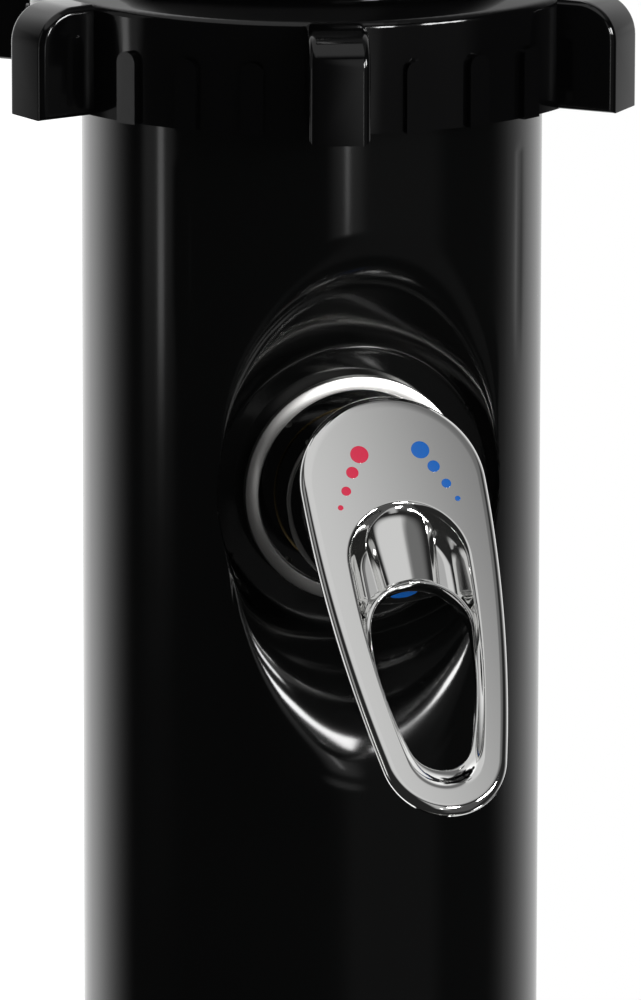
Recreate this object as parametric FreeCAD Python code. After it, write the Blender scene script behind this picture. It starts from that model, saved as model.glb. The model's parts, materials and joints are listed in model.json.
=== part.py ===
import FreeCAD, Part
import math
import os

# Solar garden shower: a black tank in two halves that the sun warms, joined by a large
# union nut, with a single-lever mixer in a moulded recess, an arm and a shower head on
# top, and a foot to bolt to the ground. Millimetres, +Z up, the ground at z = 0 under the
# tank's axis, and the mixer facing -Y.

Vector = FreeCAD.Vector
UP = Vector(0, 0, 1)
RIGHT = Vector(1, 0, 0)
OUT = Vector(0, -1, 0)
REAR = Vector(0, 1, 0)

# Overall heights
mixer_height = 1112.0
mixer_drop = 127.8
tank_top = 2022.0

# Tank tubes
tank_radius = 77.5
tank_wall = 4.0
skirt_height = 60.0
tank_floor = 5.0
dome_round = 26.0

# Union between the two tanks
neck_radius = 86.4
neck_flare = 6.0
neck_length = 25.0
flange_radius = 86.0
flange_thickness = 5.0
seal_thickness = 3.0
nut_radius = 95.0
nut_bore_gap = 0.6
nut_shoulder = 37.0
nut_rise = 4.5
nut_hole_gap = 1.0
nut_edge_round = 3.0
nut_rest_turn = -10.6
lobe_count = 6
lobe_reach = 115.0
lobe_width = 20.1
lobe_round = 13.0
lobe_edge = 2.6
rib_step = 13.7
rib_width = 7.6
rib_height = 24.0
rib_reach = 2.3

# Recess for the mixer
pad_offset = 50.0
pad_radius = 47.5
pad_round = 2.0
slope_run_side = 1.0
slope_run_above = 29.5
slope_run_below = 36.0
rim_round = 5.0
pocket_overrun = 20.0

# Mixer body, behind the recess
neck_hole = 30.4
clamp_neck_radius = 30.0
clamp_neck_end = 55.0
body_flange_radius = 38.0
body_flange_thickness = 5.5
gasket_thickness = 1.5
body_radius = 22.0
body_rear = -14.0
cap_neck_radius = 22.2
cap_neck_end = 66.0
chamber_floor = 41.0
port_offset = 34.0
port_depth = 14.0
port_radius = 11.0
channel_radius = 3.6
channel_spread = 8.0

# Rings on the recess floor
ring_radius = 38.4
ring_base_radius = 36.2
ring_inner = 33.7
ring_height = 8.0
ring_web = 2.0
locknut_gap = 0.4
locknut_lip = 1.4
locknut_lip_gap = 0.2
thread_gap = 0.3

# Cartridge
cartridge_radius = 17.3
cartridge_gap = 0.2
cartridge_seal = 0.6
housing_bore = 15.0
housing_floor = 5.4
housing_neck_radius = 12.0
housing_neck = 4.0
fixed_disc_thickness = 3.5
moving_disc_radius = 11.5
moving_disc_thickness = 3.5
carrier_thickness = 3.5
carrier_cup = 2.0
carrier_cup_radius = 5.6
rotor_disc = 5.4
rotor_disc_gap = 0.4
rotor_neck_bore = 10.0
rotor_neck_gap = 0.06
rotor_neck_end = 75.5
pivot_depth = 70.0
pin_radius = 1.48
pin_fit = 0.06
tip_radius = 3.0
tip_depth = 58.5
tip_gap = 0.2
lift_limit = 22.0

# Spindle and bonnet
spindle_flat = 7.0
spindle_square = 9.0
square_start = 79.0
spindle_end = 106.5
spindle_fit = 0.05
bonnet_radius = 28.0
bonnet_wall = 2.0
bonnet_opening = 20.0
cartridge_nut_thickness = 4.0

# Handle, measured in the plane of its flat face
face_offset = 116.0
face_tilt = 36.0
handle_rest_turn = 1.2
far = 200.0
head_radius = 31.5
head_centre = 16.5
loop_end_radius = 21.3
loop_end_centre = -79.5
slab_thickness = 9.0
slab_back_round = 5.0
slab_front_round = 3.0
finger_top_radius = 20.5
finger_top_centre = -12.0
finger_end_radius = 13.3
finger_end_centre = -79.5
finger_bevel = 0.5
finger_bevel_depth = 5.0
slot_top_radius = 17.2
slot_top_centre = -36.8
slot_end_radius = 11.2
slot_end_centre = -73.2
slot_sill = 1.6
sill_depth = 1.2
sill_run = 9.0
recess_depth = 9.0
rib_top_width = 22.0
rib_end_width = 16.4
rib_depth = 1.6
rib_edge = 2.6
hub_radius = 30.0
hub_rear = 79.0
hub_gap = 0.8
hub_underside = -16.0
boss_radius = 9.0
boss_rear = 80.0
screw_line = -15.0
screw_hole_radius = 3.0
grub_screw_radius = 2.6
grub_screw_length = 8.0
grub_screw_gap = 0.1
plug_radius = 5.0
plug_height = 0.9
dot_depth = 0.4
dot_gap = 0.02
dot_radii = (3.1, 2.1, 1.65, 0.95)
dot_places = ((10.4, 27.0), (13.9, 20.8), (17.1, 14.4), (20.0, 8.7))

# Base
base_side = 210.0
base_thickness = 10.0
base_corner = 34.0
base_edge = 3.0
socket_wall = 8.0
socket_gap = 0.5
socket_height = 52.0
gusset_count = 8
gusset_reach = 16.0
gusset_width = 6.0
base_hole_spacing = 160.0
base_hole_radius = 5.0
base_hole_sink = 10.0
base_hole_sink_depth = 3.0
base_screw_height = 36.0
base_screw_radius = 3.0
base_screw_head = 5.6
base_screw_head_height = 3.4
base_screw_length = 15.0
screw_gap = 0.3

# Fittings through the tank wall, at the rear
boss_face = 82.0
wall_boss_radius = 19.0
inlet_height = 165.0
drain_height = 104.0
fitting_hole = 13.2
fitting_shank = 12.9
inlet_thread_radius = 13.2
inlet_thread_length = 15.0
inlet_bore = 5.0
inlet_hex = 15.5
inlet_hex_length = 7.0
washer_thickness = 1.6
locknut_radius = 17.5
inlet_locknut_thickness = 6.0
shank_inner_end = 56.0
elbow_radius = 11.0
drain_hole = 8.2
drain_shank = 7.9
drain_length = 14.0
drain_head = 13.0
drain_head_thickness = 9.0
drain_travel = 9.0
drain_seal_thickness = 1.2

# Pipes inside
pipe_radius = 8.0
pipe_bore = 6.0
barb_gap = 0.05
barb_length = 22.0
pipe_overlap = 18.0
hot_pipe_top = 26.0
clamp_width = 7.0
clamp_thickness = 1.2
bend_radius = 160.0
cold_pipe_rise = 420.0
cold_pipe_drop = 260.0

# Arm and shower head
top_hole = 13.2
top_flange_radius = 22.0
top_flange = 5.0
arm_radius = 10.0
arm_wall = 1.5
arm_rise = 44.0
arm_bend_radius = 90.0
arm_bend = 150.0
arm_run = 14.0
arm_nut_radius = 16.0
arm_nut_height = 18.0
ball_radius = 11.0
ball_fit = 0.05
ball_neck_radius = 5.0
ball_neck = 24.0
ball_hole = 3.0
seat_wall = 2.2
seat_rear = 6.5
seat_front = 8.0
swivel_lip = 7.5
swivel_radius = 18.5
swivel_reach = 16.0
head_tilt_limit = 14.0
head_radius_rim = 75.0
head_shell_wall = 2.5
head_rim_height = 11.0
head_neck_radius = 15.2
head_neck_length = 10.0
head_bell = 16.0
face_plate_thickness = 2.4
face_plate_gap = 0.4
nozzle_mat_thickness = 1.8
nozzle_radius = 1.7
nozzle_gap = 0.25
nozzle_reach = 1.6
nozzle_ring_radii = (13.0, 28.0, 43.0, 58.0)
nozzle_ring_counts = (6, 12, 18, 24)

# Heights and depths worked out from the sizes above
nut_bottom = mixer_height + mixer_drop
neck_top = nut_bottom + neck_length + 1.0
flange_bottom = neck_top + seal_thickness
flange_top = flange_bottom + flange_thickness
tank_inner = tank_radius - tank_wall
floor_top = base_thickness + skirt_height + tank_floor
mixer_centre = Vector(0, 0, mixer_height)
body_flange_front = pad_offset - tank_wall - gasket_thickness
housing_rear = chamber_floor + cartridge_seal
fixed_disc_rear = housing_rear + housing_floor
moving_disc_rear = fixed_disc_rear + fixed_disc_thickness
carrier_rear = moving_disc_rear + moving_disc_thickness
rotor_rear = cap_neck_end - rotor_disc - 0.5
tip_arm = pivot_depth - tip_depth
disc_half_travel = tip_arm * math.sin(math.radians(lift_limit)) / 2


def along(depth, side=0.0, height=0.0):
    """A point on or near the mixer's axis, depth mm in front of the tank's axis."""
    return Vector(side, -depth, mixer_height + height)


def rod(radius, length, start, direction):
    return Part.makeCylinder(radius, length, start, direction)


def tube(outer, inner, length, start, direction):
    return rod(outer, length, start, direction).cut(rod(inner, length, start, direction))


def lathe(points, base, direction):
    """Turns a closed outline of (radius, distance along the axis) about an axis."""
    wire = Part.makePolygon([Vector(r, 0, a) for r, a in points] + [Vector(points[0][0], 0, points[0][1])])
    solid = Part.Face(wire).revolve(Vector(0, 0, 0), UP, 360)
    turn = FreeCAD.Rotation(UP, direction)
    return placed(solid, FreeCAD.Placement(base, turn))


def placed(shape, placement):
    """A copy of the shape with the placement worked into its geometry."""
    return shape.transformed(placement.toMatrix())


def ball(radius, centre):
    return Part.makeSphere(radius, centre)


def block(size, corner):
    return Part.makeBox(size[0], size[1], size[2], corner)


def prism(sides, flat_radius, length, base, direction):
    """A regular prism, such as a hexagon, whose flats lie flat_radius from its axis."""
    reach = flat_radius / math.cos(math.pi / sides)
    corners = []
    for k in range(sides + 1):
        angle = 2 * math.pi * k / sides
        corners.append(Vector(reach * math.cos(angle), reach * math.sin(angle), 0))
    solid = Part.Face(Part.makePolygon(corners)).extrude(Vector(0, 0, length))
    return placed(solid, FreeCAD.Placement(base, FreeCAD.Rotation(UP, direction)))


def turned(shape, angle, centre=Vector(0, 0, 0), axis=UP):
    copy = shape.copy()
    copy.rotate(centre, axis, angle)
    return copy


def fused(shapes):
    return shapes[0].fuse(shapes[1:]).removeSplitter() if len(shapes) > 1 else shapes[0]


def round_edges(shape, radius, chosen):
    """Rounds the edges that the test picks."""
    edges = [edge for edge in shape.Edges if chosen(edge)]
    return shape.makeFillet(radius, edges)


def pipe_along(path, outer, inner):
    """A tube whose centre follows a wire of straight runs and arcs."""
    start = path.Vertexes[0].Point
    first = path.Edges[0]
    heading = first.tangentAt(first.FirstParameter)
    rings = [Part.Wire([Part.makeCircle(r, start, heading)]) for r in (outer, inner)]
    solids = []
    for ring in rings:
        sweep = Part.BRepOffsetAPI.MakePipeShell(path)
        sweep.add(ring, False, False)
        sweep.build()
        sweep.makeSolid()
        solids.append(sweep.shape())
    return solids[0].cut(solids[1])


def rounded_path(points, radius):
    """Straight runs through the points, with an arc of the given radius at each turn."""
    edges = []
    last = points[0]
    for before, corner, after in zip(points, points[1:], points[2:]):
        arriving = (corner - before).normalize()
        leaving = (after - corner).normalize()
        turn = arriving.getAngle(leaving)
        cut = radius * math.tan(turn / 2)
        start = corner - arriving * cut
        end = corner + leaving * cut
        inward = (leaving - arriving).normalize()
        middle = corner + inward * (radius / math.cos(turn / 2) - radius)
        edges.append(Part.makeLine(last, start))
        edges.append(Part.Arc(start, middle, end).toShape())
        last = end
    edges.append(Part.makeLine(last, points[-1]))
    return Part.Wire(edges)


# Tank halves and their union


def oval(half_width, above, below, level):
    """A closed oval outline at a height z, that reaches as far above and below its centre
    as it is told."""
    stretch = FreeCAD.Matrix()
    stretch.scale(half_width, (above + below) / 2, 1)
    stretch.move(Vector(0, (above - below) / 2, level))
    return Part.Wire([Part.makeCircle(1.0)]).transformGeometry(stretch)


def pocket_funnel(offset):
    """The recess: a round pad that opens into a tall oval mouth in the tube's front. With
    an offset it is the same shape, that far behind its skin."""
    rise = tank_radius - pad_offset
    span = rise + offset
    beyond = (span + pocket_overrun) / span
    pad = []
    end = []
    for run in (slope_run_side, slope_run_above, slope_run_below):
        slope = math.atan2(rise, run)
        start = pad_radius + offset * math.tan(slope / 2)
        finish = pad_radius + run + offset / math.sin(slope)
        pad.append(start)
        end.append(start + (finish - start) * beyond)
    funnel = Part.makeLoft([oval(*pad, 0), oval(*end, span * beyond)], True, True)

    def pad_edge(edge):
        return edge.BoundBox.ZMax < 0.01

    funnel = round_edges(funnel, pad_round + offset, pad_edge)
    return placed(funnel, FreeCAD.Placement(along(pad_offset - offset), FreeCAD.Rotation(UP, OUT)))


def lower_tank_skin():
    """The outside of the lower tank: tube, flared neck and funnel-shaped recess."""
    outline = [
        (0, base_thickness),
        (tank_radius, base_thickness),
        (tank_radius, nut_bottom + 1.0),
        (neck_radius, nut_bottom + 1.0 + neck_flare),
        (neck_radius, neck_top),
        (0, neck_top),
    ]
    skin = lathe(outline, Vector(0, 0, 0), UP).cut(pocket_funnel(0))

    def mouth(edge):
        middle = edge.valueAt((edge.FirstParameter + edge.LastParameter) / 2)
        return middle.y < -pad_offset and abs(math.hypot(middle.x, middle.y) - tank_radius) < 0.01

    return round_edges(skin, rim_round, mouth)


def wall_boss(height):
    """A flat round pad on the tank's rear, which a fitting seals against."""
    pad = rod(wall_boss_radius, boss_face - tank_inner + 12, Vector(0, tank_inner - 12, height), REAR)
    return pad.cut(rod(tank_inner, 4 * wall_boss_radius, Vector(0, 0, height - 2 * wall_boss_radius), UP))


def base_screw_places():
    """Directions of the four screws that hold the tank's skirt in the base."""
    return [Vector(math.cos(a), math.sin(a), 0) for a in (math.radians(45 + 90 * k) for k in range(4))]


def make_lower_tank():
    inside = rod(tank_inner, neck_top - floor_top + 1, Vector(0, 0, floor_top), UP)
    tank = lower_tank_skin().cut(inside.cut(pocket_funnel(tank_wall)))
    tank = tank.cut(rod(tank_inner, skirt_height, Vector(0, 0, base_thickness), UP))
    tank = tank.fuse([wall_boss(inlet_height), wall_boss(drain_height)])
    tank = tank.cut(rod(fitting_hole, 40, Vector(0, tank_inner - 20, inlet_height), REAR))
    tank = tank.cut(rod(drain_hole, 40, Vector(0, tank_inner - 20, drain_height), REAR))
    tank = tank.cut(rod(neck_hole, 2 * tank_wall, along(pad_offset - 1.5 * tank_wall), OUT))
    for heading in base_screw_places():
        start = Vector(0, 0, base_screw_height) + heading * (tank_inner - 5)
        tank = tank.cut(rod(base_screw_radius + screw_gap, 20, start, heading))
    return tank


def make_upper_tank():
    """The upper tube, with the flange that the nut pulls down and a domed top."""
    outline = [
        (tank_inner, flange_bottom),
        (flange_radius, flange_bottom),
        (flange_radius, flange_top),
        (tank_radius, flange_top),
        (tank_radius, tank_top),
        (top_hole, tank_top),
        (top_hole, tank_top - tank_wall),
        (tank_inner, tank_top - tank_wall),
    ]
    tank = lathe(outline, Vector(0, 0, 0), UP)

    def outer_top(edge):
        return abs(edge.BoundBox.ZMin - tank_top) < 0.01 and edge.Curve.Radius > 2 * top_hole

    def inner_top(edge):
        level = abs(edge.BoundBox.ZMin - tank_top + tank_wall) < 0.01
        return level and edge.BoundBox.ZLength < 0.01 and edge.Curve.Radius > 2 * top_hole

    tank = round_edges(tank, dome_round, lambda edge: edge.BoundBox.ZLength < 0.01 and outer_top(edge))
    return round_edges(tank, dome_round - tank_wall, inner_top)


def make_union_seal():
    return tube(flange_radius - 1.5, tank_inner + 1.5, seal_thickness, Vector(0, 0, neck_top), UP)


def nut_lobe():
    """One grip lobe, with a rounded outer top corner and softened edges."""
    inner = nut_radius - 6.0
    corner = lobe_reach - lobe_round
    bend = lobe_round * math.sqrt(0.5)
    a = Vector(inner, 0, 0)
    b = Vector(lobe_reach, 0, 0)
    c = Vector(lobe_reach, 0, nut_shoulder - lobe_round)
    d = Vector(corner + bend, 0, nut_shoulder - lobe_round + bend)
    e = Vector(corner, 0, nut_shoulder)
    f = Vector(inner, 0, nut_shoulder)
    edges = [Part.makeLine(a, b), Part.makeLine(b, c), Part.Arc(c, d, e).toShape()]
    edges += [Part.makeLine(e, f), Part.makeLine(f, a)]
    lobe = Part.Face(Part.Wire(edges)).extrude(Vector(0, lobe_width, 0))
    lobe.translate(Vector(0, -lobe_width / 2, 0))

    def outer_side(edge):
        box = edge.BoundBox
        across = box.YLength > 0.1
        return not across and box.XMax > inner + 0.1

    return round_edges(lobe, lobe_edge, outer_side)


def nut_rib():
    """A short round-topped rib on the nut's side, for grip."""
    start = nut_radius - 2.0
    depth = rib_reach + 2.0
    stem = block((depth, rib_width, rib_height - rib_width / 2), Vector(start, -rib_width / 2, 0))
    cap = rod(rib_width / 2, depth, Vector(start, 0, rib_height - rib_width / 2), RIGHT)
    return stem.fuse(cap).removeSplitter()


def make_union_nut():
    """A ring nut with six lobes and three ribs between each two of them."""
    bore = neck_radius + nut_bore_gap
    hole = tank_radius + nut_hole_gap
    web = flange_top - nut_bottom
    outline = [
        (bore, 0),
        (nut_radius, 0),
        (nut_radius, nut_shoulder),
        (hole + 3.0, nut_shoulder + nut_rise),
        (hole, nut_shoulder + nut_rise),
        (hole, web),
        (bore, web),
    ]
    ring = lathe(outline, Vector(0, 0, 0), UP)

    def shoulder(edge):
        box = edge.BoundBox
        return abs(box.ZMin - nut_shoulder) < 0.01 and box.ZLength < 0.01

    ring = round_edges(ring, nut_edge_round, shoulder)
    grips = []
    pitch = 360.0 / lobe_count
    for k in range(lobe_count):
        grips.append(turned(nut_lobe(), k * pitch))
        for step in (-rib_step, 0.0, rib_step):
            grips.append(turned(nut_rib(), (k + 0.5) * pitch + step))
    nut = ring.fuse(grips)
    nut = nut.cut(rod(bore, web, Vector(0, 0, 0), UP))
    nut.rotate(Vector(0, 0, 0), UP, nut_rest_turn - 90)
    nut.translate(Vector(0, 0, nut_bottom))
    return nut


# Base


def make_base_foot():
    """A moulded foot: a square plate, a socket for the tank's skirt and gussets."""
    half = base_side / 2
    plate = block((base_side, base_side, base_thickness), Vector(-half, -half, 0))
    plate = round_edges(plate, base_corner, lambda edge: edge.BoundBox.ZLength > 1)
    plate = round_edges(plate, base_edge, lambda edge: edge.BoundBox.ZMin > base_thickness - 0.01)
    inner = tank_radius + socket_gap
    outer = inner + socket_wall
    socket = tube(outer, inner, socket_height, Vector(0, 0, base_thickness), UP)
    rise = socket_height * 0.7
    corners = [
        Vector(outer - 2, 0, base_thickness),
        Vector(outer + gusset_reach, 0, base_thickness),
        Vector(outer - 2, 0, base_thickness + rise),
    ]
    web = Part.Face(Part.makePolygon(corners + corners[:1])).extrude(Vector(0, gusset_width, 0))
    web.translate(Vector(0, -gusset_width / 2, 0))
    pitch = 360.0 / gusset_count
    gussets = [turned(web, k * pitch) for k in range(gusset_count)]
    foot = plate.fuse([socket] + gussets).removeSplitter()
    for x in (-base_hole_spacing / 2, base_hole_spacing / 2):
        for y in (-base_hole_spacing / 2, base_hole_spacing / 2):
            foot = foot.cut(rod(base_hole_radius, base_thickness, Vector(x, y, 0), UP))
            sink = Vector(x, y, base_thickness - base_hole_sink_depth)
            foot = foot.cut(rod(base_hole_sink, base_hole_sink_depth, sink, UP))
    for heading in base_screw_places():
        start = Vector(0, 0, base_screw_height) + heading * (inner - 5)
        foot = foot.cut(rod(base_screw_radius + screw_gap, socket_wall + 10, start, heading))
        seat = Vector(0, 0, base_screw_height) + heading * (outer - 1.0)
        foot = foot.cut(rod(base_screw_head + 1.0, 6, seat, heading))
    return foot


def make_base_screws():
    """Four pan-head screws through the socket into the tank's skirt."""
    seat = tank_radius + socket_gap + socket_wall - 1.0
    outline = [
        (0, -base_screw_length),
        (base_screw_radius, -base_screw_length),
        (base_screw_radius, 0),
        (base_screw_head, 0),
        (base_screw_head, base_screw_head_height * 0.5),
        (base_screw_head * 0.7, base_screw_head_height),
        (0, base_screw_head_height),
    ]
    screws = []
    for heading in base_screw_places():
        centre = Vector(0, 0, base_screw_height) + heading * seat
        screw = lathe(outline, centre, heading)
        slot = rod(1.6, 2.0, centre + heading * (base_screw_head_height - 1.5), heading)
        screws.append(screw.cut(slot))
    return Part.makeCompound(screws)


# Fittings at the rear


def make_inlet_connector():
    """A bulkhead fitting: shank through the wall, hexagon, and a male hose thread."""
    face = boss_face + washer_thickness
    centre = Vector(0, 0, inlet_height)
    shank = rod(fitting_shank, face - shank_inner_end, centre + REAR * shank_inner_end, REAR)
    hexagon = prism(6, inlet_hex, inlet_hex_length, centre + REAR * face, REAR)
    neck = rod(inlet_thread_radius - 1.6, 3.0, centre + REAR * (face + inlet_hex_length), REAR)
    thread_start = face + inlet_hex_length + 3.0
    thread = rod(inlet_thread_radius, inlet_thread_length, centre + REAR * thread_start, REAR)
    body = shank.fuse([hexagon, neck, thread]).removeSplitter()
    return body.cut(rod(inlet_bore, 80, centre + REAR * (shank_inner_end - 5), REAR))


def make_inlet_washer():
    start = Vector(0, boss_face, inlet_height)
    return tube(wall_boss_radius - 1.5, fitting_hole, washer_thickness, start, REAR)


def make_inlet_locknut():
    """The hexagon nut inside the tank, on a flat-faced spacer against the curved wall."""
    start = Vector(0, tank_inner - inlet_locknut_thickness - 6.0, inlet_height)
    nut = prism(6, locknut_radius, inlet_locknut_thickness, start, REAR)
    saddle = rod(locknut_radius, 6.0, start + REAR * inlet_locknut_thickness, REAR)
    wall = rod(tank_inner - 0.05, 80, Vector(0, 0, inlet_height - 40), UP)
    nut = nut.fuse(saddle.common(wall)).removeSplitter()
    return nut.cut(rod(fitting_hole, 30, start - REAR * 5, REAR))


def make_inlet_elbow():
    """Turns the cold water up into the feed pipe, with a side hole that fills the tank."""
    centre = Vector(0, 0, inlet_height)
    body = rod(elbow_radius, 26, centre + REAR * (shank_inner_end - 26), REAR)
    middle = shank_inner_end - 15
    stub = rod(pipe_bore - barb_gap, barb_length + elbow_radius, centre + REAR * middle, UP)
    body = body.fuse(stub)
    body = body.cut(rod(inlet_bore, 18, centre + REAR * (shank_inner_end - 18), REAR))
    body = body.cut(rod(channel_radius, barb_length + 2 * elbow_radius, centre + REAR * middle, UP))
    return body.cut(rod(2.5, 2 * elbow_radius, centre + REAR * middle, Vector(0, 0, -1)))


def make_drain_plug():
    """A knurled hand screw that empties the tank, with a groove for its O-ring."""
    centre = Vector(0, 0, drain_height)
    face = boss_face + drain_seal_thickness
    head = prism(12, drain_head, drain_head_thickness, centre + REAR * face, REAR)
    flutes = []
    for k in range(6):
        angle = math.radians(60 * k + 15)
        side = Vector(math.cos(angle), 0, math.sin(angle)) * (drain_head + 1.5)
        flutes.append(rod(3.2, drain_head_thickness - 2.5, centre + side + REAR * (face + 2.5), REAR))
    head = head.cut(fused(flutes))
    shank = rod(drain_shank, drain_length + face - boss_face, centre + REAR * (boss_face - drain_length), REAR)
    plug = head.fuse(shank).removeSplitter()
    slot = block((18, 2.4, 2.2), Vector(-9, face + drain_head_thickness - 2.4, drain_height - 1.1))
    return plug.cut(slot)


def make_drain_seal():
    """The O-ring under the plug's head, squeezed flat as it is in use."""
    centre = Vector(0, 0, drain_height)
    return tube(drain_shank + 2.6, drain_shank + 0.02, drain_seal_thickness, centre + REAR * boss_face, REAR)


# Pipes and clamps


def make_cold_pipe():
    start = Vector(0, shank_inner_end - 15, inlet_height + elbow_radius + barb_length - pipe_overlap)
    end = Vector(port_offset, -port_depth, mixer_height - port_radius - barb_length + pipe_overlap)
    low = Vector(start.x, start.y, start.z + cold_pipe_rise)
    high = Vector(end.x, end.y, end.z - cold_pipe_drop)
    return pipe_along(rounded_path([start, low, high, end], bend_radius), pipe_radius, pipe_bore)


def make_hot_pipe():
    """Draws the warmest water from under the tank's top."""
    start = Vector(-port_offset, -port_depth, mixer_height + port_radius + barb_length - pipe_overlap)
    top = tank_top - tank_wall - hot_pipe_top
    return tube(pipe_radius, pipe_bore, top - start.z, start, UP)


def make_riser_pipe():
    start = Vector(0, 0, mixer_height + body_radius + barb_length - pipe_overlap)
    top = tank_top - tank_wall - 40.0 + pipe_overlap - barb_length
    return tube(pipe_radius, pipe_bore, top + barb_length - start.z, start, UP)


def hose_clamp(centre):
    """A band round a pipe's end, with the small box of its screw."""
    inner = pipe_radius + 0.05
    band = tube(inner + clamp_thickness, inner, clamp_width, centre, UP)
    housing = block((5, 9, clamp_width), centre + Vector(inner + 0.6, -4.5, 0))
    return band.fuse(housing).removeSplitter()


def make_hose_clamps():
    low = Vector(0, shank_inner_end - 15, inlet_height + elbow_radius + barb_length - pipe_overlap + 6)
    cold = Vector(port_offset, -port_depth, mixer_height - port_radius - barb_length + pipe_overlap - 12)
    hot = Vector(-port_offset, -port_depth, mixer_height + port_radius + barb_length - pipe_overlap + 5)
    riser = Vector(0, 0, mixer_height + body_radius + barb_length - pipe_overlap + 5)
    top = Vector(0, 0, tank_top - tank_wall - 40.0 + pipe_overlap - 12)
    return Part.makeCompound([hose_clamp(p) for p in (low, cold, hot, riser, top)])


# Mixer


def make_mixer_body():
    """The brass body inside the tank: two inlets, an outlet and the cartridge chamber."""
    outline = [
        (0, body_rear),
        (body_radius, body_rear),
        (body_radius, body_flange_front - body_flange_thickness),
        (body_flange_radius, body_flange_front - body_flange_thickness),
        (body_flange_radius, body_flange_front),
        (clamp_neck_radius, body_flange_front),
        (clamp_neck_radius, clamp_neck_end),
        (cap_neck_radius, clamp_neck_end),
        (cap_neck_radius, cap_neck_end),
        (0, cap_neck_end),
    ]
    body = lathe(outline, mixer_centre, OUT)
    cross = rod(port_radius, 2 * port_offset + 16, along(port_depth, -port_offset - 8), RIGHT)
    barb = pipe_bore - barb_gap
    cold = rod(barb, port_radius + barb_length, along(port_depth, port_offset), Vector(0, 0, -1))
    hot = rod(barb, port_radius + barb_length, along(port_depth, -port_offset), UP)
    outlet = rod(barb, body_radius + barb_length, along(0), UP)
    body = body.fuse([cross, cold, hot, outlet]).removeSplitter()
    chamber = rod(cartridge_radius + cartridge_gap, 40, along(chamber_floor), OUT)
    body = body.cut(chamber)
    reach = port_radius + barb_length + 1
    ways = [
        rod(channel_radius, reach, along(port_depth, port_offset), Vector(0, 0, -1)),
        rod(channel_radius, port_offset - channel_spread, along(port_depth, channel_spread), RIGHT),
        rod(channel_radius, chamber_floor - port_depth, along(port_depth, channel_spread), OUT),
        rod(channel_radius, reach, along(port_depth, -port_offset), UP),
        rod(channel_radius, port_offset - channel_spread, along(port_depth, -port_offset), RIGHT),
        rod(channel_radius, chamber_floor - port_depth, along(port_depth, -channel_spread), OUT),
        rod(channel_radius, chamber_floor, along(0, 0, channel_spread), OUT),
        rod(channel_radius, body_radius + barb_length + 1, along(0), UP),
    ]
    for way in ways:
        body = body.cut(way)
    return body


def make_mixer_gasket():
    return tube(body_flange_radius, neck_hole, gasket_thickness, along(body_flange_front), OUT)


def make_mixer_ring():
    """The chrome ring on the recess floor: a flat web, and a wall that widens to a bead."""
    outline = [
        (clamp_neck_radius + thread_gap, 0),
        (ring_base_radius, 0),
        (ring_radius, ring_height - 3.2),
        (ring_radius, ring_height),
        (ring_inner, ring_height),
        (ring_inner, ring_web),
        (clamp_neck_radius + thread_gap, ring_web),
    ]
    ring = lathe(outline, along(pad_offset), OUT)
    front = -(pad_offset + ring_height)

    def front_edge(edge):
        box = edge.BoundBox
        return abs(box.YMin - front) < 0.01 and box.YLength < 0.01

    return round_edges(ring, 1.8, front_edge)


def make_mixer_locknut():
    """The black ring nut that clamps the chrome ring and the body to the tank's wall, with
    a lip that covers the end of the body's thread."""
    start = along(pad_offset + ring_web)
    lip_start = clamp_neck_end + locknut_lip_gap
    outline = [
        (clamp_neck_radius + thread_gap, 0),
        (ring_inner - locknut_gap, 0),
        (ring_inner - locknut_gap, lip_start + locknut_lip - pad_offset - ring_web),
        (bonnet_radius + locknut_gap, lip_start + locknut_lip - pad_offset - ring_web),
        (bonnet_radius + locknut_gap, lip_start - pad_offset - ring_web),
        (clamp_neck_radius + thread_gap, lip_start - pad_offset - ring_web),
    ]
    nut = lathe(outline, start, OUT)
    locknut_thickness = lip_start + locknut_lip - pad_offset - ring_web
    for k in range(4):
        angle = math.radians(90 * k + 45)
        side = Vector(math.cos(angle), 0, math.sin(angle)) * (ring_inner - 0.6)
        nut = nut.cut(rod(1.4, locknut_thickness, start + side, OUT))
    return nut


def make_cartridge_seal():
    """Three rubber rings under the cartridge, one for each way in the body."""
    rings = []
    for side, height in ((channel_spread, 0), (-channel_spread, 0), (0, channel_spread)):
        centre = along(chamber_floor, side, height)
        rings.append(tube(channel_radius + 0.2 + 0.9, channel_radius + 0.2, cartridge_seal, centre, OUT))
    return Part.makeCompound(rings)


def three_ways(radius, start, length):
    places = ((channel_spread, 0), (-channel_spread, 0), (0, channel_spread))
    return [rod(radius, length, along(start, side, height), OUT) for side, height in places]


def make_cartridge_housing():
    """The cartridge's plastic shell, with three ways in its floor and a narrow neck."""
    outline = [
        (0, housing_rear),
        (cartridge_radius, housing_rear),
        (cartridge_radius, cap_neck_end),
        (housing_neck_radius, cap_neck_end),
        (housing_neck_radius, cap_neck_end + housing_neck),
        (rotor_neck_bore, cap_neck_end + housing_neck),
        (rotor_neck_bore, cap_neck_end - 0.4),
        (housing_bore, cap_neck_end - 0.4),
        (housing_bore, fixed_disc_rear),
        (0, fixed_disc_rear),
    ]
    housing = lathe(outline, mixer_centre, OUT)
    for way in three_ways(channel_radius - 0.6, housing_rear, housing_floor):
        housing = housing.cut(way)
    return housing


def make_fixed_disc():
    disc = rod(housing_bore - 0.3, fixed_disc_thickness, along(fixed_disc_rear), OUT)
    for way in three_ways(channel_radius - 0.8, fixed_disc_rear, fixed_disc_thickness):
        disc = disc.cut(way)
    return disc


def make_moving_disc():
    """The ceramic disc that slides and turns, with the mixing hollow in its sealed face."""
    centre = along(moving_disc_rear, 0, disc_half_travel)
    disc = rod(moving_disc_radius, moving_disc_thickness, centre, OUT)
    hollow = rod(6.2, 1.8, centre, OUT)
    return disc.cut(hollow)


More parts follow.
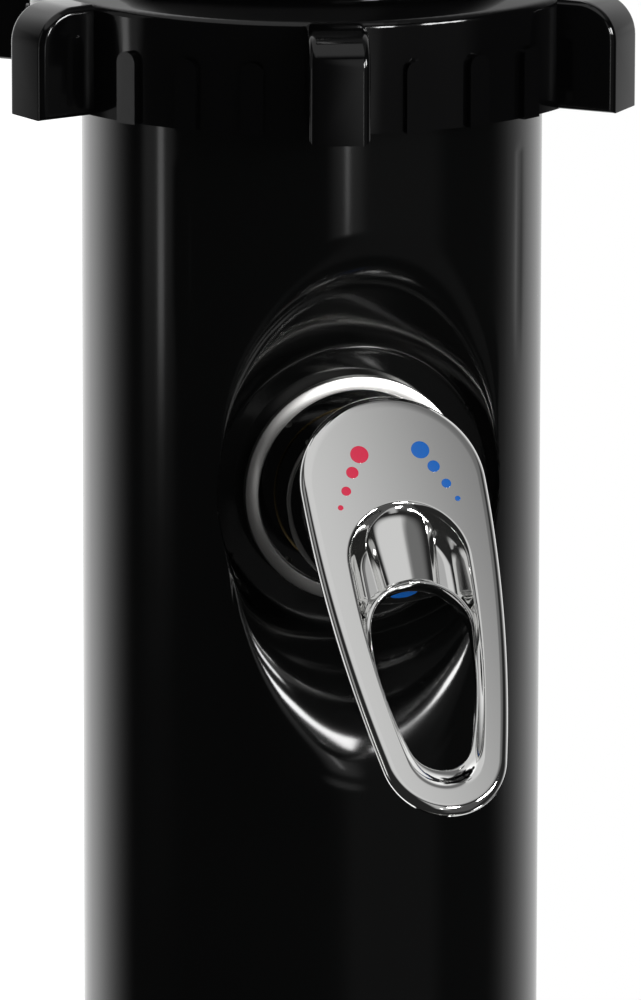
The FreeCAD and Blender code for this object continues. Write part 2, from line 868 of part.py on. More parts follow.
def make_disc_carrier():
    """Carries the moving disc, with the cup that the spindle's ball tip pushes."""
    centre = along(carrier_rear, 0, disc_half_travel)
    carrier = rod(moving_disc_radius, carrier_thickness, centre, OUT)
    cup_start = carrier_rear + carrier_thickness
    cup = rod(carrier_cup_radius, carrier_cup, along(cup_start), OUT)
    carrier = carrier.fuse(cup).removeSplitter()
    floor = tip_depth - tip_radius - tip_gap
    return carrier.cut(rod(tip_radius + tip_gap, 20, along(floor), OUT))


def make_cartridge_rotor():
    """Turns with the handle and carries the pin that the spindle tilts on."""
    disc = rod(housing_bore - rotor_disc_gap, rotor_disc, along(rotor_rear), OUT)
    neck_radius_fit = rotor_neck_bore - rotor_neck_gap
    neck = rod(neck_radius_fit, rotor_neck_end - rotor_rear, along(rotor_rear), OUT)
    rotor = disc.fuse(neck).removeSplitter()
    width = spindle_flat + 0.7
    opening = block((width, 40, 17.4), along(90, -width / 2, -8.7))
    rotor = rotor.cut(opening)
    return rotor.cut(rod(pin_radius + 0.02, 30, along(pivot_depth, -15), RIGHT))


def make_rotor_pin():
    length = 2 * rotor_neck_bore - 2.4
    return rod(pin_radius, length, along(pivot_depth, -length / 2), RIGHT)


def make_cartridge_nut():
    """The brass nut that holds the cartridge down, with six notches for a key."""
    nut = tube(cap_neck_radius - 0.4, housing_neck_radius + 0.3, cartridge_nut_thickness, along(cap_neck_end), OUT)
    for k in range(6):
        angle = math.radians(60 * k)
        side = Vector(math.cos(angle), 0, math.sin(angle)) * cap_neck_radius
        nut = nut.cut(rod(2.2, 2.2, along(cap_neck_end + cartridge_nut_thickness - 2.2) + side, OUT))
    return nut


def make_lever_spindle():
    """The spindle: a ball tip, a flat part that tilts on the pin, and a square end."""
    flat = block((spindle_flat, square_start - tip_depth, spindle_flat), along(square_start, -spindle_flat / 2, -spindle_flat / 2))
    neck = rod(2.2, 4.0, along(tip_depth), OUT)
    flat = flat.cut(block((20, 2.5 + tip_radius, 20), along(tip_depth + 2.5 + tip_radius - 0.5, -10, -10)))
    square = block(
        (spindle_square, spindle_end - square_start, spindle_square),
        along(spindle_end, -spindle_square / 2, -spindle_square / 2),
    )
    spindle = flat.fuse([square, neck, rod(2.2, 6.0, along(tip_depth), OUT), ball(tip_radius, along(tip_depth))])
    spindle = spindle.removeSplitter()
    return spindle.cut(rod(pin_radius + pin_fit, 20, along(pivot_depth, -10), RIGHT))


def make_bonnet():
    """The chrome cap over the cartridge: a straight skirt and a dome centred on the pin."""
    rear = clamp_neck_end + 0.3
    inner = bonnet_radius - bonnet_wall
    skirt = rod(bonnet_radius, pivot_depth - rear, along(rear), OUT)
    dome = ball(bonnet_radius, along(pivot_depth)).common(rod(40, 40, along(pivot_depth), OUT))
    cap = skirt.fuse(dome).removeSplitter()
    hollow = rod(inner, pivot_depth - rear - 9.0, along(rear + 9.0), OUT)
    hollow = hollow.fuse(ball(inner, along(pivot_depth)).common(rod(40, 40, along(pivot_depth), OUT)))
    cap = cap.cut(hollow)
    cap = cap.cut(rod(cap_neck_radius + thread_gap, 20, along(rear), OUT))
    return cap.cut(rod(bonnet_opening, 40, along(pivot_depth + 5), OUT))


# Handle. Its own frame has x to the right, y up the flat face and z out of the face.


def loop_outline(top_radius, top_centre, end_radius, end_centre, level):
    """A closed outline of two end circles joined by long tangent arcs, at a height z."""
    span = top_centre - end_centre
    side = (top_radius**2 + span**2 - end_radius**2) / (2 * (top_radius - end_radius))
    lean = math.asin(span / (side - end_radius))
    end_x = end_radius * math.cos(lean)
    end_y = end_centre - end_radius * math.sin(lean)
    mid_x = top_radius - side + side * math.cos(lean / 2)
    mid_y = top_centre - side * math.sin(lean / 2)

    def point(x, y):
        return Vector(x, y, level)

    edges = [
        Part.Arc(point(top_radius, top_centre), point(0, top_centre + top_radius), point(-top_radius, top_centre)),
        Part.Arc(point(-top_radius, top_centre), point(-mid_x, mid_y), point(-end_x, end_y)),
        Part.Arc(point(-end_x, end_y), point(0, end_centre - end_radius), point(end_x, end_y)),
        Part.Arc(point(end_x, end_y), point(mid_x, mid_y), point(top_radius, top_centre)),
    ]
    return Part.Wire([edge.toShape() for edge in edges])


def handle_frame():
    """The placement that takes the handle's own frame to its place on the mixer."""
    tilt = FreeCAD.Rotation(RIGHT, 90 - face_tilt)
    roll = FreeCAD.Rotation(OUT, handle_rest_turn)
    origin = along(face_offset)
    return FreeCAD.Placement(origin, roll.multiply(tilt))


def in_handle(depth, height=0.0):
    """A point in the handle's own frame, from its depth and height on the mixer."""
    tilt = math.radians(face_tilt)
    out = depth - face_offset
    y = height * math.cos(tilt) - out * math.sin(tilt)
    z = height * math.sin(tilt) + out * math.cos(tilt)
    return Vector(0, y, z)


def filled(outline, depth):
    """A solid from an outline, reaching the given depth behind it."""
    return Part.Face(outline).extrude(Vector(0, 0, -depth))


def handle_slab():
    """The flat loop, rounded at its edges."""
    outer = loop_outline(head_radius, head_centre, loop_end_radius, loop_end_centre, 0.0)
    slab = filled(outer, slab_thickness)
    slab = round_edges(slab, slab_back_round, lambda edge: edge.BoundBox.ZMax < -slab_thickness + 0.01)
    return round_edges(slab, slab_front_round, lambda edge: edge.BoundBox.ZMin > -0.01)


def handle_hub():
    """The hub behind the face, cut off square to the face below the spindle."""
    axis = (in_handle(face_offset + 1) - in_handle(face_offset)).normalize()
    hub = rod(hub_radius, 70, in_handle(hub_rear), axis)
    hub = hub.common(block((2 * far, far, 2 * far), Vector(-far, hub_underside, -far)))
    head = loop_outline(head_radius, head_centre, loop_end_radius, loop_end_centre, -slab_front_round)
    return hub.common(filled(head, far))


def slot_outline(margin=0.0):
    """The slot that goes right through, or the same slot with a margin round it."""
    return loop_outline(slot_top_radius + margin, slot_top_centre, slot_end_radius + margin, slot_end_centre, 0.0)


def finger_opening():
    """The bevelled opening in the face, and the recess behind its arched top."""
    top = finger_top_radius - finger_bevel
    face = loop_outline(finger_top_radius, finger_top_centre, finger_end_radius, finger_end_centre, 0.0)
    floor = loop_outline(top, finger_top_centre, slot_end_radius, slot_end_centre, -finger_bevel_depth)
    bevel = Part.makeLoft([face, floor], True)
    return bevel.fuse(filled(floor, recess_depth - finger_bevel_depth))


def recess_sill():
    """The thin web that closes the recess towards the slot."""
    sill = filled(slot_outline(slot_sill), recess_depth).cut(filled(slot_outline(), recess_depth))
    upper = block((60, 60, recess_depth - sill_depth), Vector(-30, slot_top_centre - sill_run, -recess_depth))
    return sill.common(upper)


def recess_rib():
    """The rib down the middle of the recess, which narrows to the sill."""
    top = finger_top_centre + finger_top_radius + 1.0
    sill = slot_top_centre + slot_top_radius + slot_sill / 2
    corners = [
        Vector(-rib_top_width / 2, top, -rib_depth),
        Vector(rib_top_width / 2, top, -rib_depth),
        Vector(rib_end_width / 2, sill, -rib_depth),
        Vector(-rib_end_width / 2, sill, -rib_depth),
    ]
    rib = filled(Part.makePolygon(corners + corners[:1]), recess_depth + 1.0 - rib_depth)

    def long_front(edge):
        box = edge.BoundBox
        return box.ZMin > -rib_depth - 0.01 and box.YLength > 1.0

    return round_edges(rib, rib_edge, long_front)


def dots(sign, depth_start, thickness, gap):
    """The row of round marks on one side of the face."""
    row = []
    for radius, (x, y) in zip(dot_radii, dot_places):
        row.append(rod(radius - gap, thickness, Vector(sign * x, y, depth_start), UP))
    return row


def make_handle():
    axis = (in_handle(face_offset + 1) - in_handle(face_offset)).normalize()
    upright = (in_handle(0, 1) - in_handle(0, 0)).normalize()
    body = handle_slab().fuse(handle_hub()).cut(finger_opening())
    body = body.fuse([recess_sill(), recess_rib()]).cut(filled(slot_outline(), far))
    body = body.cut(ball(bonnet_radius + hub_gap, in_handle(pivot_depth)))
    boss_start = in_handle(boss_rear)
    boss = rod(boss_radius, 30, boss_start, axis).common(filled_half_space())
    body = body.fuse(boss)
    side = spindle_square + 2 * spindle_fit
    depth = spindle_end + 0.2 - boss_rear + 1
    socket = Part.makeBox(side, side, depth, Vector(-side / 2, -side / 2, 0))
    turn = FreeCAD.Rotation(Vector(1, 0, 0), upright, axis, "XYZ")
    body = body.cut(placed(socket, FreeCAD.Placement(in_handle(boss_rear - 1), turn)))
    hole_start = Vector(0, hub_underside - 5, screw_line)
    body = body.cut(rod(screw_hole_radius, hub_centre_height(screw_line) + 5 - hub_underside, hole_start, Vector(0, 1, 0)))
    for sign in (-1, 1):
        for dot in dots(sign, -dot_depth, dot_depth + 1, 0.0):
            body = body.cut(dot)
    return placed(body.removeSplitter(), handle_frame())


def filled_half_space():
    """Everything behind the handle's face, less the skin of its edge rounding."""
    return block((2 * far, 2 * far, far), Vector(-far, -far, -far - slab_front_round))


def hub_centre_height(z):
    """The height on the handle's own y axis at which the mixer's axis passes a depth z."""
    return -z * math.tan(math.radians(face_tilt))


def make_dots(sign):
    row = dots(sign, -dot_depth, dot_depth + 0.05, dot_gap)
    return placed(Part.makeCompound(row), handle_frame())


def make_handle_screw():
    """The grub screw that locks the handle on the spindle."""
    tilt = math.radians(face_tilt)
    rest = hub_centre_height(screw_line) - (spindle_square / 2 + grub_screw_gap) / math.cos(tilt)
    rest -= grub_screw_radius * math.tan(tilt)
    start = Vector(0, rest - grub_screw_length, screw_line)
    screw = rod(grub_screw_radius, grub_screw_length, start, Vector(0, 1, 0))
    screw = screw.cut(prism(6, 1.25, 3.0, start, Vector(0, 1, 0)))
    return placed(screw, handle_frame())


def make_screw_plug():
    """The two-coloured cap over the grub screw's hole."""
    head = rod(plug_radius, plug_height, Vector(0, hub_underside - plug_height, screw_line), Vector(0, 1, 0))
    stem = rod(screw_hole_radius - 0.02, 4.0, Vector(0, hub_underside, screw_line), Vector(0, 1, 0))
    return placed(head.fuse(stem).removeSplitter(), handle_frame())


# Arm and shower head


def arm_points():
    """Where the arm starts, turns and ends, and the way its end points."""
    start = Vector(0, 0, tank_top + washer_thickness + top_flange + 1.0)
    bend_start = start + UP * arm_rise
    centre = bend_start + OUT * arm_bend_radius
    sweep = math.radians(arm_bend)
    middle = centre - OUT * (arm_bend_radius * math.cos(sweep / 2)) + UP * (arm_bend_radius * math.sin(sweep / 2))
    end = centre - OUT * (arm_bend_radius * math.cos(sweep)) + UP * (arm_bend_radius * math.sin(sweep))
    heading = OUT * math.sin(sweep) + UP * math.cos(sweep)
    return start, bend_start, middle, end, heading


def ball_centre():
    end, heading = arm_points()[3:]
    return end + heading * (arm_run + ball_neck)


def make_top_fitting():
    """The bulkhead in the tank's top: flange outside, barb for the riser inside."""
    face = tank_top + washer_thickness
    outline = [
        (channel_radius, -40.0 - tank_wall - washer_thickness),
        (pipe_bore - barb_gap, -40.0 - tank_wall - washer_thickness),
        (pipe_bore - barb_gap, -18.0 - tank_wall - washer_thickness),
        (fitting_shank, -18.0 - tank_wall - washer_thickness),
        (fitting_shank, 0),
        (top_flange_radius, 0),
        (top_flange_radius, top_flange),
        (channel_radius, top_flange),
    ]
    fitting = lathe(outline, Vector(0, 0, face), UP)
    return fitting.fuse(tube(arm_radius - arm_wall - 0.05, channel_radius, 14, Vector(0, 0, face + top_flange), UP))


def make_top_washer():
    return tube(top_flange_radius - 1, top_hole, washer_thickness, Vector(0, 0, tank_top), UP)


def make_top_locknut():
    nut = prism(6, locknut_radius, 7.0, Vector(0, 0, tank_top - tank_wall - 7.0), UP)
    return nut.cut(rod(top_hole, 7.0, Vector(0, 0, tank_top - tank_wall - 7.0), UP))


def make_shower_arm():
    start, bend_start, middle, end, heading = arm_points()
    edges = [
        Part.makeLine(start, bend_start),
        Part.Arc(bend_start, middle, end).toShape(),
        Part.makeLine(end, end + heading * arm_run),
    ]
    return pipe_along(Part.Wire(edges), arm_radius, arm_radius - arm_wall)


def make_arm_nut():
    """The hexagon nut that clamps the arm on the tank's fitting."""
    base = Vector(0, 0, tank_top + washer_thickness + top_flange)
    nut = prism(6, arm_nut_radius, arm_nut_height * 0.55, base, UP)
    collar = rod(arm_nut_radius - 1.5, arm_nut_height, base, UP)
    nut = nut.fuse(collar).removeSplitter()
    return nut.cut(rod(arm_radius + 0.1, arm_nut_height, base, UP))


def make_ball_stem():
    """The ball that the head swivels on, with the sleeve that closes the arm's end."""
    end, heading = arm_points()[3:]
    mouth = end + heading * arm_run
    centre = ball_centre()
    spigot = rod(arm_radius - arm_wall - 0.05, 12, mouth - heading * 12, heading)
    sleeve = rod(arm_radius + 2.0, 9, mouth, heading)
    neck = rod(ball_neck_radius, ball_neck, mouth, heading)
    stem = spigot.fuse([sleeve, neck, ball(ball_radius, centre)]).removeSplitter()
    return stem.cut(rod(ball_hole, 80, mouth - heading * 20, heading))


def on_head(points):
    """Turns an outline about the head's axis, from the ball's centre outwards."""
    return lathe(points, ball_centre(), arm_points()[4])


def make_ball_seat():
    """The round-backed ring between the ball and the swivel nut's socket."""
    centre = ball_centre()
    shell = ball(ball_radius + seat_wall, centre).cut(ball(ball_radius + ball_fit, centre))
    heading = arm_points()[4]
    return shell.common(rod(swivel_radius, seat_rear + seat_front, centre - heading * seat_rear, heading))


def make_swivel_nut():
    """The cap nut that holds the ball in the head's neck."""
    outline = [
        (6.0, -swivel_lip),
        (swivel_radius - 5.0, -swivel_lip),
        (swivel_radius, -1.0),
        (swivel_radius, swivel_reach),
        (swivel_radius - 3.0, swivel_reach),
        (swivel_radius - 3.0, 1.6),
        (6.0, 1.6),
    ]
    return on_head(outline).cut(ball(ball_radius + seat_wall + ball_fit, ball_centre()))


def head_levels():
    """Distances from the ball's centre to the head's neck, bell, mat and face."""
    neck = 12.3
    bell = neck + head_neck_length
    rim_top = bell + head_bell
    face = rim_top + head_rim_height
    return neck, bell, rim_top, face


def make_head_shell():
    """The head's back: a neck, a shallow bell and the rim."""
    neck, bell, rim_top, face = head_levels()
    wall = head_shell_wall
    rim = head_radius_rim
    outline = [
        (6.0, neck),
        (head_neck_radius, neck),
        (head_neck_radius, swivel_reach + 0.5),
        (head_neck_radius + 3.0, swivel_reach + 1.5),
        (head_neck_radius + 4.0, bell),
        (rim * 0.55, bell + head_bell * 0.35),
        (rim - 6.0, rim_top - 2.0),
        (rim, rim_top + 3.0),
        (rim, face),
        (rim - wall, face),
        (rim - wall, rim_top + 4.5),
        (rim - 7.0, rim_top + 1.0),
        (rim * 0.55, bell + head_bell * 0.35 + wall),
        (head_neck_radius, bell + wall),
        (6.0, bell + wall),
    ]
    return on_head(outline)


def nozzle_places():
    places = []
    for radius, count in zip(nozzle_ring_radii, nozzle_ring_counts):
        for k in range(count):
            angle = 2 * math.pi * k / count
            places.append(Vector(radius * math.cos(angle), radius * math.sin(angle), 0))
    return places


def head_pieces(shape):
    """Moves a piece from the head's own frame, with its face looking along +Z."""
    turn = FreeCAD.Rotation(UP, arm_points()[4])
    return placed(shape, FreeCAD.Placement(ball_centre(), turn))


def make_face_plate():
    face = head_levels()[3]
    radius = head_radius_rim - head_shell_wall - face_plate_gap
    plate = rod(radius, face_plate_thickness, Vector(0, 0, face - face_plate_thickness), UP)
    holes = []
    for place in nozzle_places():
        start = place + UP * (face - face_plate_thickness)
        holes.append(rod(nozzle_radius + nozzle_gap, face_plate_thickness, start, UP))
    return head_pieces(plate.cut(Part.makeCompound(holes)))


def make_nozzle_mat():
    """The rubber mat with its soft nozzles, which poke through the face plate."""
    face = head_levels()[3]
    back = face - face_plate_thickness - nozzle_mat_thickness
    mat = rod(head_radius_rim - head_shell_wall - 2.0, nozzle_mat_thickness, Vector(0, 0, back), UP)
    length = face_plate_thickness + nozzle_mat_thickness + nozzle_reach
    tips = [Part.makeCone(nozzle_radius, nozzle_radius * 0.75, length, place + UP * back, UP) for place in nozzle_places()]
    mat = mat.fuse(tips)
    return head_pieces(mat)


def make_head_ring():
    """The ring inside the rim that clamps the mat and the face plate to the shell."""
    neck, bell, rim_top, face = head_levels()
    rear = rim_top + 5.0
    front = face - face_plate_thickness - nozzle_mat_thickness
    outer = head_radius_rim - head_shell_wall - 0.3
    return head_pieces(tube(outer, outer - 5.0, front - rear, Vector(0, 0, rear), UP))


def with_rest_turn(shape):
    """Turns a piece of the cartridge with the handle's rest position."""
    return turned(shape, handle_rest_turn, mixer_centre, OUT)


def build():
    pieces = {
        "base_foot": make_base_foot(),
        "base_screws": make_base_screws(),
        "lower_tank": make_lower_tank(),
        "inlet_connector": make_inlet_connector(),
        "inlet_washer": make_inlet_washer(),
        "inlet_locknut": make_inlet_locknut(),
        "inlet_elbow": make_inlet_elbow(),
        "drain_plug": make_drain_plug(),
        "drain_seal": make_drain_seal(),
        "union_nut": make_union_nut(),
        "union_seal": make_union_seal(),
        "upper_tank": make_upper_tank(),
        "cold_pipe": make_cold_pipe(),
        "hot_pipe": make_hot_pipe(),
        "riser_pipe": make_riser_pipe(),
        "hose_clamps": make_hose_clamps(),
        "mixer_body": make_mixer_body(),
        "mixer_gasket": make_mixer_gasket(),
        "mixer_ring": make_mixer_ring(),
        "mixer_locknut": make_mixer_locknut(),
        "cartridge_seal": make_cartridge_seal(),
        "cartridge_housing": make_cartridge_housing(),
        "fixed_disc": make_fixed_disc(),
        "moving_disc": with_rest_turn(make_moving_disc()),
        "disc_carrier": with_rest_turn(make_disc_carrier()),
        "cartridge_rotor": with_rest_turn(make_cartridge_rotor()),
        "rotor_pin": with_rest_turn(make_rotor_pin()),
        "lever_spindle": with_rest_turn(make_lever_spindle()),
        "cartridge_nut": make_cartridge_nut(),
        "bonnet": make_bonnet(),
        "handle": make_handle(),
        "hot_dots": make_dots(-1),
        "cold_dots": make_dots(1),
        "handle_screw": make_handle_screw(),
        "screw_plug": make_screw_plug(),
        "top_fitting": make_top_fitting(),
        "top_washer": make_top_washer(),
        "top_locknut": make_top_locknut(),
        "shower_arm": make_shower_arm(),
        "arm_nut": make_arm_nut(),
        "ball_stem": make_ball_stem(),
        "ball_seat": make_ball_seat(),
        "swivel_nut": make_swivel_nut(),
        "head_shell": make_head_shell(),
        "head_ring": make_head_ring(),
        "nozzle_mat": make_nozzle_mat(),
        "face_plate": make_face_plate(),
    }
    os.makedirs("parts", exist_ok=True)
    for name, shape in pieces.items():
        shape.exportStep("parts/" + name + ".step")
        print(name, "solids", len(shape.Solids), "volume", round(shape.Volume, 1), "valid", shape.isValid())


build()
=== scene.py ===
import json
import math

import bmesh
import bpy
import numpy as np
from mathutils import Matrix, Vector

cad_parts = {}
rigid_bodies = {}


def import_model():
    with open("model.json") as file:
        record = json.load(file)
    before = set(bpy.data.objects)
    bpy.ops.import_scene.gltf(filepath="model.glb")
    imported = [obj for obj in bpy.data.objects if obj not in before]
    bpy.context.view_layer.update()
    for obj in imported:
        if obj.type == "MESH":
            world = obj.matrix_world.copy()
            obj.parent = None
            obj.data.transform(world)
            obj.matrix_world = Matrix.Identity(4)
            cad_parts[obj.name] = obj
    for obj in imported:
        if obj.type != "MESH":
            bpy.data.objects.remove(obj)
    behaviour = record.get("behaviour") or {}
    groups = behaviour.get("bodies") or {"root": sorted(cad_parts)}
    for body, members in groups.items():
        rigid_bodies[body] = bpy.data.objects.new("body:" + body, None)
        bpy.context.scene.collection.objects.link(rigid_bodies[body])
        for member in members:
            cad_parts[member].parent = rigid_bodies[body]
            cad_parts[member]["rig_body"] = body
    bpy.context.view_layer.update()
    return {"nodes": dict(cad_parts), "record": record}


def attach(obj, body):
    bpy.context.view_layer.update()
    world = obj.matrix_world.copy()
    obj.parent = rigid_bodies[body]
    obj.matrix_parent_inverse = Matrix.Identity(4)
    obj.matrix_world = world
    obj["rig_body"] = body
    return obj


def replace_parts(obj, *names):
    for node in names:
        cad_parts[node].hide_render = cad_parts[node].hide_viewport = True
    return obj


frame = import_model()

# %% [markdown]
# # A solar garden shower
# A black water column that the sun warms, seen at the joint between its two tanks. A
# chrome single-lever mixer sits in a moulded recess. The cells below build the picture
# step by step: sizes, the camera, the light, the materials, and then each surface that
# shows, worked out in NumPy from a formula.

# %% [markdown]
# ## Shared sizes
# Lengths are in metres. The frame has +Z up and the mixer facing -Y. Only the sizes that
# several pieces share stand here, and each piece's own sizes stand in its own cell. Every
# surface is built in place, with its object at the origin, so that it can be compared
# with the CAD solid that it stands for.

MM = 0.001
FULL_TURN = 2 * math.pi
TUBE = 77.5 * MM
MIXER = Vector((0.0, 0.0, 1112.0 * MM))
NUT_BOTTOM = MIXER.z + 127.8 * MM
print("tube radius", round(TUBE, 4), "mixer height", round(MIXER.z, 4))

# %% [markdown]
# ## Camera
# The picture was taken with a long lens, so the column's sides look almost parallel. A
# camera can be placed by eye, or from its distance and angles. The angles are chosen
# here, because they were fitted to the nut's lobes, the chrome ring and the handle. The
# camera stands 3.5 m away, 15 degrees to the left of the mixer, and looks down by 13.

# %% Camera
CAMERA_TURN = math.radians(-15.26)
CAMERA_DISTANCE = 3.5
CAMERA_RISE = 656.26 * MM
PITCH = math.radians(12.884)
YAW = math.radians(0.052)
ROLL = math.radians(0.100)
FOCAL_PIXELS = 10582.6
SENSOR_WIDTH = 36.0
PICTURE_PIXELS = 1000.0
CLIP_NEAR = 0.05
CLIP_FAR = 60.0


def camera_axes():
    """The camera's right, up and backward directions. The level direction to the tank's
    axis is turned by the yaw, tipped by the pitch, and the two others by the roll."""
    ahead = np.array([-math.sin(CAMERA_TURN), math.cos(CAMERA_TURN), 0.0])
    side = np.array([math.cos(CAMERA_TURN), math.sin(CAMERA_TURN), 0.0])
    level = ahead * math.cos(YAW) + side * math.sin(YAW)
    right = side * math.cos(YAW) - ahead * math.sin(YAW)
    forward = level * math.cos(PITCH) - np.array([0.0, 0.0, 1.0]) * math.sin(PITCH)
    up = np.cross(right, forward)
    rolled = right * math.cos(ROLL) + up * math.sin(ROLL)
    return rolled, up * math.cos(ROLL) - right * math.sin(ROLL), -forward


camera_place = Vector((
    math.sin(CAMERA_TURN) * CAMERA_DISTANCE,
    -math.cos(CAMERA_TURN) * CAMERA_DISTANCE,
    NUT_BOTTOM + CAMERA_RISE,
))
axes = camera_axes()
camera_turn = Matrix([[axes[c][r] for c in range(3)] for r in range(3)]).to_4x4()
lens = bpy.data.cameras.new("camera")
lens.lens = FOCAL_PIXELS * SENSOR_WIDTH / PICTURE_PIXELS
lens.clip_start = CLIP_NEAR
lens.clip_end = CLIP_FAR
camera = bpy.data.objects.new("camera", lens)
camera.matrix_world = Matrix.Translation(camera_place) @ camera_turn
bpy.context.scene.collection.objects.link(camera)
bpy.context.scene.camera = camera
bpy.context.scene.view_settings.view_transform = "Standard"
print("camera at", [round(v, 3) for v in camera_place], "lens", round(lens.lens, 1))

# %% [markdown]
# ## Small steps for node trees
# The studio and the materials are built from a few kinds of node. A Math node, and a
# smooth step made by a Map Range node, are needed again and again, so each gets a
# function. A band is the product of a step up and a step down.

# %% Node helpers


def maths(tree, operation, a, b=None, clamp=False):
    """A Math node whose inputs are numbers or the outputs of other nodes."""
    node = tree.nodes.new("ShaderNodeMath")
    node.operation = operation
    node.use_clamp = clamp
    for socket, value in zip(node.inputs, (a, b)):
        if value is None:
            continue
        if isinstance(value, (int, float)):
            socket.default_value = value
        else:
            tree.links.new(value, socket)
    return node.outputs[0]


def ramp(tree, value, low, high, start=0.0, end=1.0):
    """Maps a value from low..high to start..end with a smooth step."""
    node = tree.nodes.new("ShaderNodeMapRange")
    node.interpolation_type = "SMOOTHSTEP"
    tree.links.new(value, node.inputs["Value"])
    ends = {"From Min": low, "From Max": high, "To Min": start, "To Max": end}
    for name, number in ends.items():
        node.inputs[name].default_value = number
    return node.outputs[0]


def band(tree, value, low, high, soft):
    """1 between low and high, and 0 a softness away on either side."""
    rising = ramp(tree, value, low - soft, low)
    falling = ramp(tree, value, high, high + soft, 1.0, 0.0)
    return maths(tree, "MULTIPLY", rising, falling)


print("node helpers: maths, ramp, band")

# %% [markdown]
# ## Studio
# A glossy black column looks like what it mirrors, so the studio is described by what
# stands round it. It could be a room of lamps and cards, but patches painted on the sky
# are simpler to place and have no noise. Each patch is given by its turn from the camera
# and its rise over the horizon.
#
# Behind the object and to its sides is a white sweep, which draws the pale bands on the
# tube's edges. Overhead is a large soft panel, which the handle's tilted face mirrors.
# In front the room is dark apart from two faint strips, and a small bright patch low at
# the right catches the recess's upper edge. Matt surfaces get an even light instead, so
# their colours come out as they are written.

# %% Studio
DARK_ROOM = 0.02
MATT_LIGHT = 0.72

# name: (turn from, turn to, softness), (rise from, rise to, softness), brightness,
# with the angles in degrees
SKY_PATCHES = {
    "left sweep": ((-190, -142, 42), (-60, 60, 20), 1.2),
    "right sweep": ((152, 190, 52), (-60, 60, 20), 0.85),
    "overhead": ((-190, 30, 24), (46, 95, 12), 0.50),
    "overhead right": ((-190, 190, 1), (46, 95, 12), 0.14),
    "left strip": ((-90, -76, 6), (-11, 30, 2), 0.25),
    "right strip": ((15, 21, 8), (-11, 30, 1), 0.40),
    "front right": ((26, 60, 14), (-40, 20, 10), 0.06),
    "low right": ((108, 124, 3), (-57, -46, 3), 8.0),
}


def sky_angles(tree):
    """The direction's turn from the camera, positive to its right, and its rise over the
    horizon, both in degrees: an arc tangent of its level parts and an arc sine of z."""
    coords = tree.nodes.new("ShaderNodeTexCoord")
    turn = tree.nodes.new("ShaderNodeVectorRotate")
    turn.rotation_type = "Z_AXIS"
    turn.inputs["Angle"].default_value = -CAMERA_TURN
    tree.links.new(coords.outputs["Generated"], turn.inputs["Vector"])
    parts = tree.nodes.new("ShaderNodeSeparateXYZ")
    tree.links.new(turn.outputs["Vector"], parts.inputs[0])
    across, along, height = parts.outputs
    toward = maths(tree, "MULTIPLY", along, -1.0)
    angle = maths(tree, "MULTIPLY", maths(tree, "ARCTAN2", across, toward), math.degrees(1.0))
    rise = maths(tree, "MULTIPLY", maths(tree, "ARCSINE", height), math.degrees(1.0))
    return angle, rise


def studio_world():
    """White to the camera, even to matt surfaces, and the sum of the patches to glossy
    ones. A patch is a band of turns times a band of rises, times its brightness."""
    world = bpy.data.worlds.new("studio")
    bpy.context.scene.world = world
    world.use_nodes = True
    world.cycles.sampling_method = "NONE"
    tree = world.node_tree
    tree.nodes.clear()
    angle, rise = sky_angles(tree)
    total = DARK_ROOM
    for turns, rises, brightness in SKY_PATCHES.values():
        patch = maths(tree, "MULTIPLY", band(tree, angle, *turns), band(tree, rise, *rises))
        total = maths(tree, "ADD", maths(tree, "MULTIPLY", patch, brightness), total)
    path = tree.nodes.new("ShaderNodeLightPath")
    is_matt = path.outputs["Is Diffuse Ray"]
    matt = maths(tree, "MULTIPLY", is_matt, MATT_LIGHT)
    glossy = maths(tree, "MULTIPLY", maths(tree, "SUBTRACT", 1.0, is_matt), total)
    lit = maths(tree, "ADD", matt, glossy)
    level = maths(tree, "MAXIMUM", lit, path.outputs["Is Camera Ray"])
    tint = tree.nodes.new("ShaderNodeCombineColor")
    for socket in tint.inputs:
        tree.links.new(level, socket)
    back = tree.nodes.new("ShaderNodeBackground")
    tree.links.new(tint.outputs[0], back.inputs["Color"])
    out = tree.nodes.new("ShaderNodeOutputWorld")
    tree.links.new(back.outputs[0], out.inputs["Surface"])
    return world


studio_world()
print("sky patches", len(SKY_PATCHES))

# %% [markdown]
# ## Lamps
# The highlights on the recess's rim are the mirror images of soft boxes near the camera.
# They could be patches of the sky too, but a real lamp is at a real distance, so its
# image also moves with the place on the object. Two boxes at the right light the rim,
# and two weak ones follow the strips.

# %% Lamps
LAMP_DISTANCE = 2.6
LAMP_AIM = Vector((0.0, 0.0, 1.15))

# name: turn and rise in degrees, width and height, brightness
LAMPS = {
    "key_lamp": (54, 16, (0.75, 0.50), 22),
    "low_key_lamp": (29, 14, (0.32, 0.42), 26),
    "strip_lamp": (17.5, -5.0, (0.07, 0.45), 3),
    "side_strip_lamp": (-80, -5.7, (0.16, 0.55), 1.6),
}


def soft_lamp(name, turn, rise, size, radiance):
    """A rectangular lamp at a turn from the camera and a rise, pointed at the aim. Its
    power is its brightness times pi times its area."""
    light = bpy.data.lights.new(name, "AREA")
    light.shape = "RECTANGLE"
    light.size, light.size_y = size
    light.energy = radiance * math.pi * size[0] * size[1]
    around, up = CAMERA_TURN + math.radians(turn), math.radians(rise)
    level = math.cos(up)
    away = Vector((math.sin(around) * level, -math.cos(around) * level, math.sin(up)))
    obj = bpy.data.objects.new(name, light)
    facing = (-away).to_track_quat("-Z", "Y").to_matrix().to_4x4()
    obj.matrix_world = Matrix.Translation(LAMP_AIM + away * LAMP_DISTANCE) @ facing
    bpy.context.scene.collection.objects.link(obj)
    return obj


for lamp_name, settings in LAMPS.items():
    soft_lamp(lamp_name, *settings)
print("lamps", list(LAMPS))

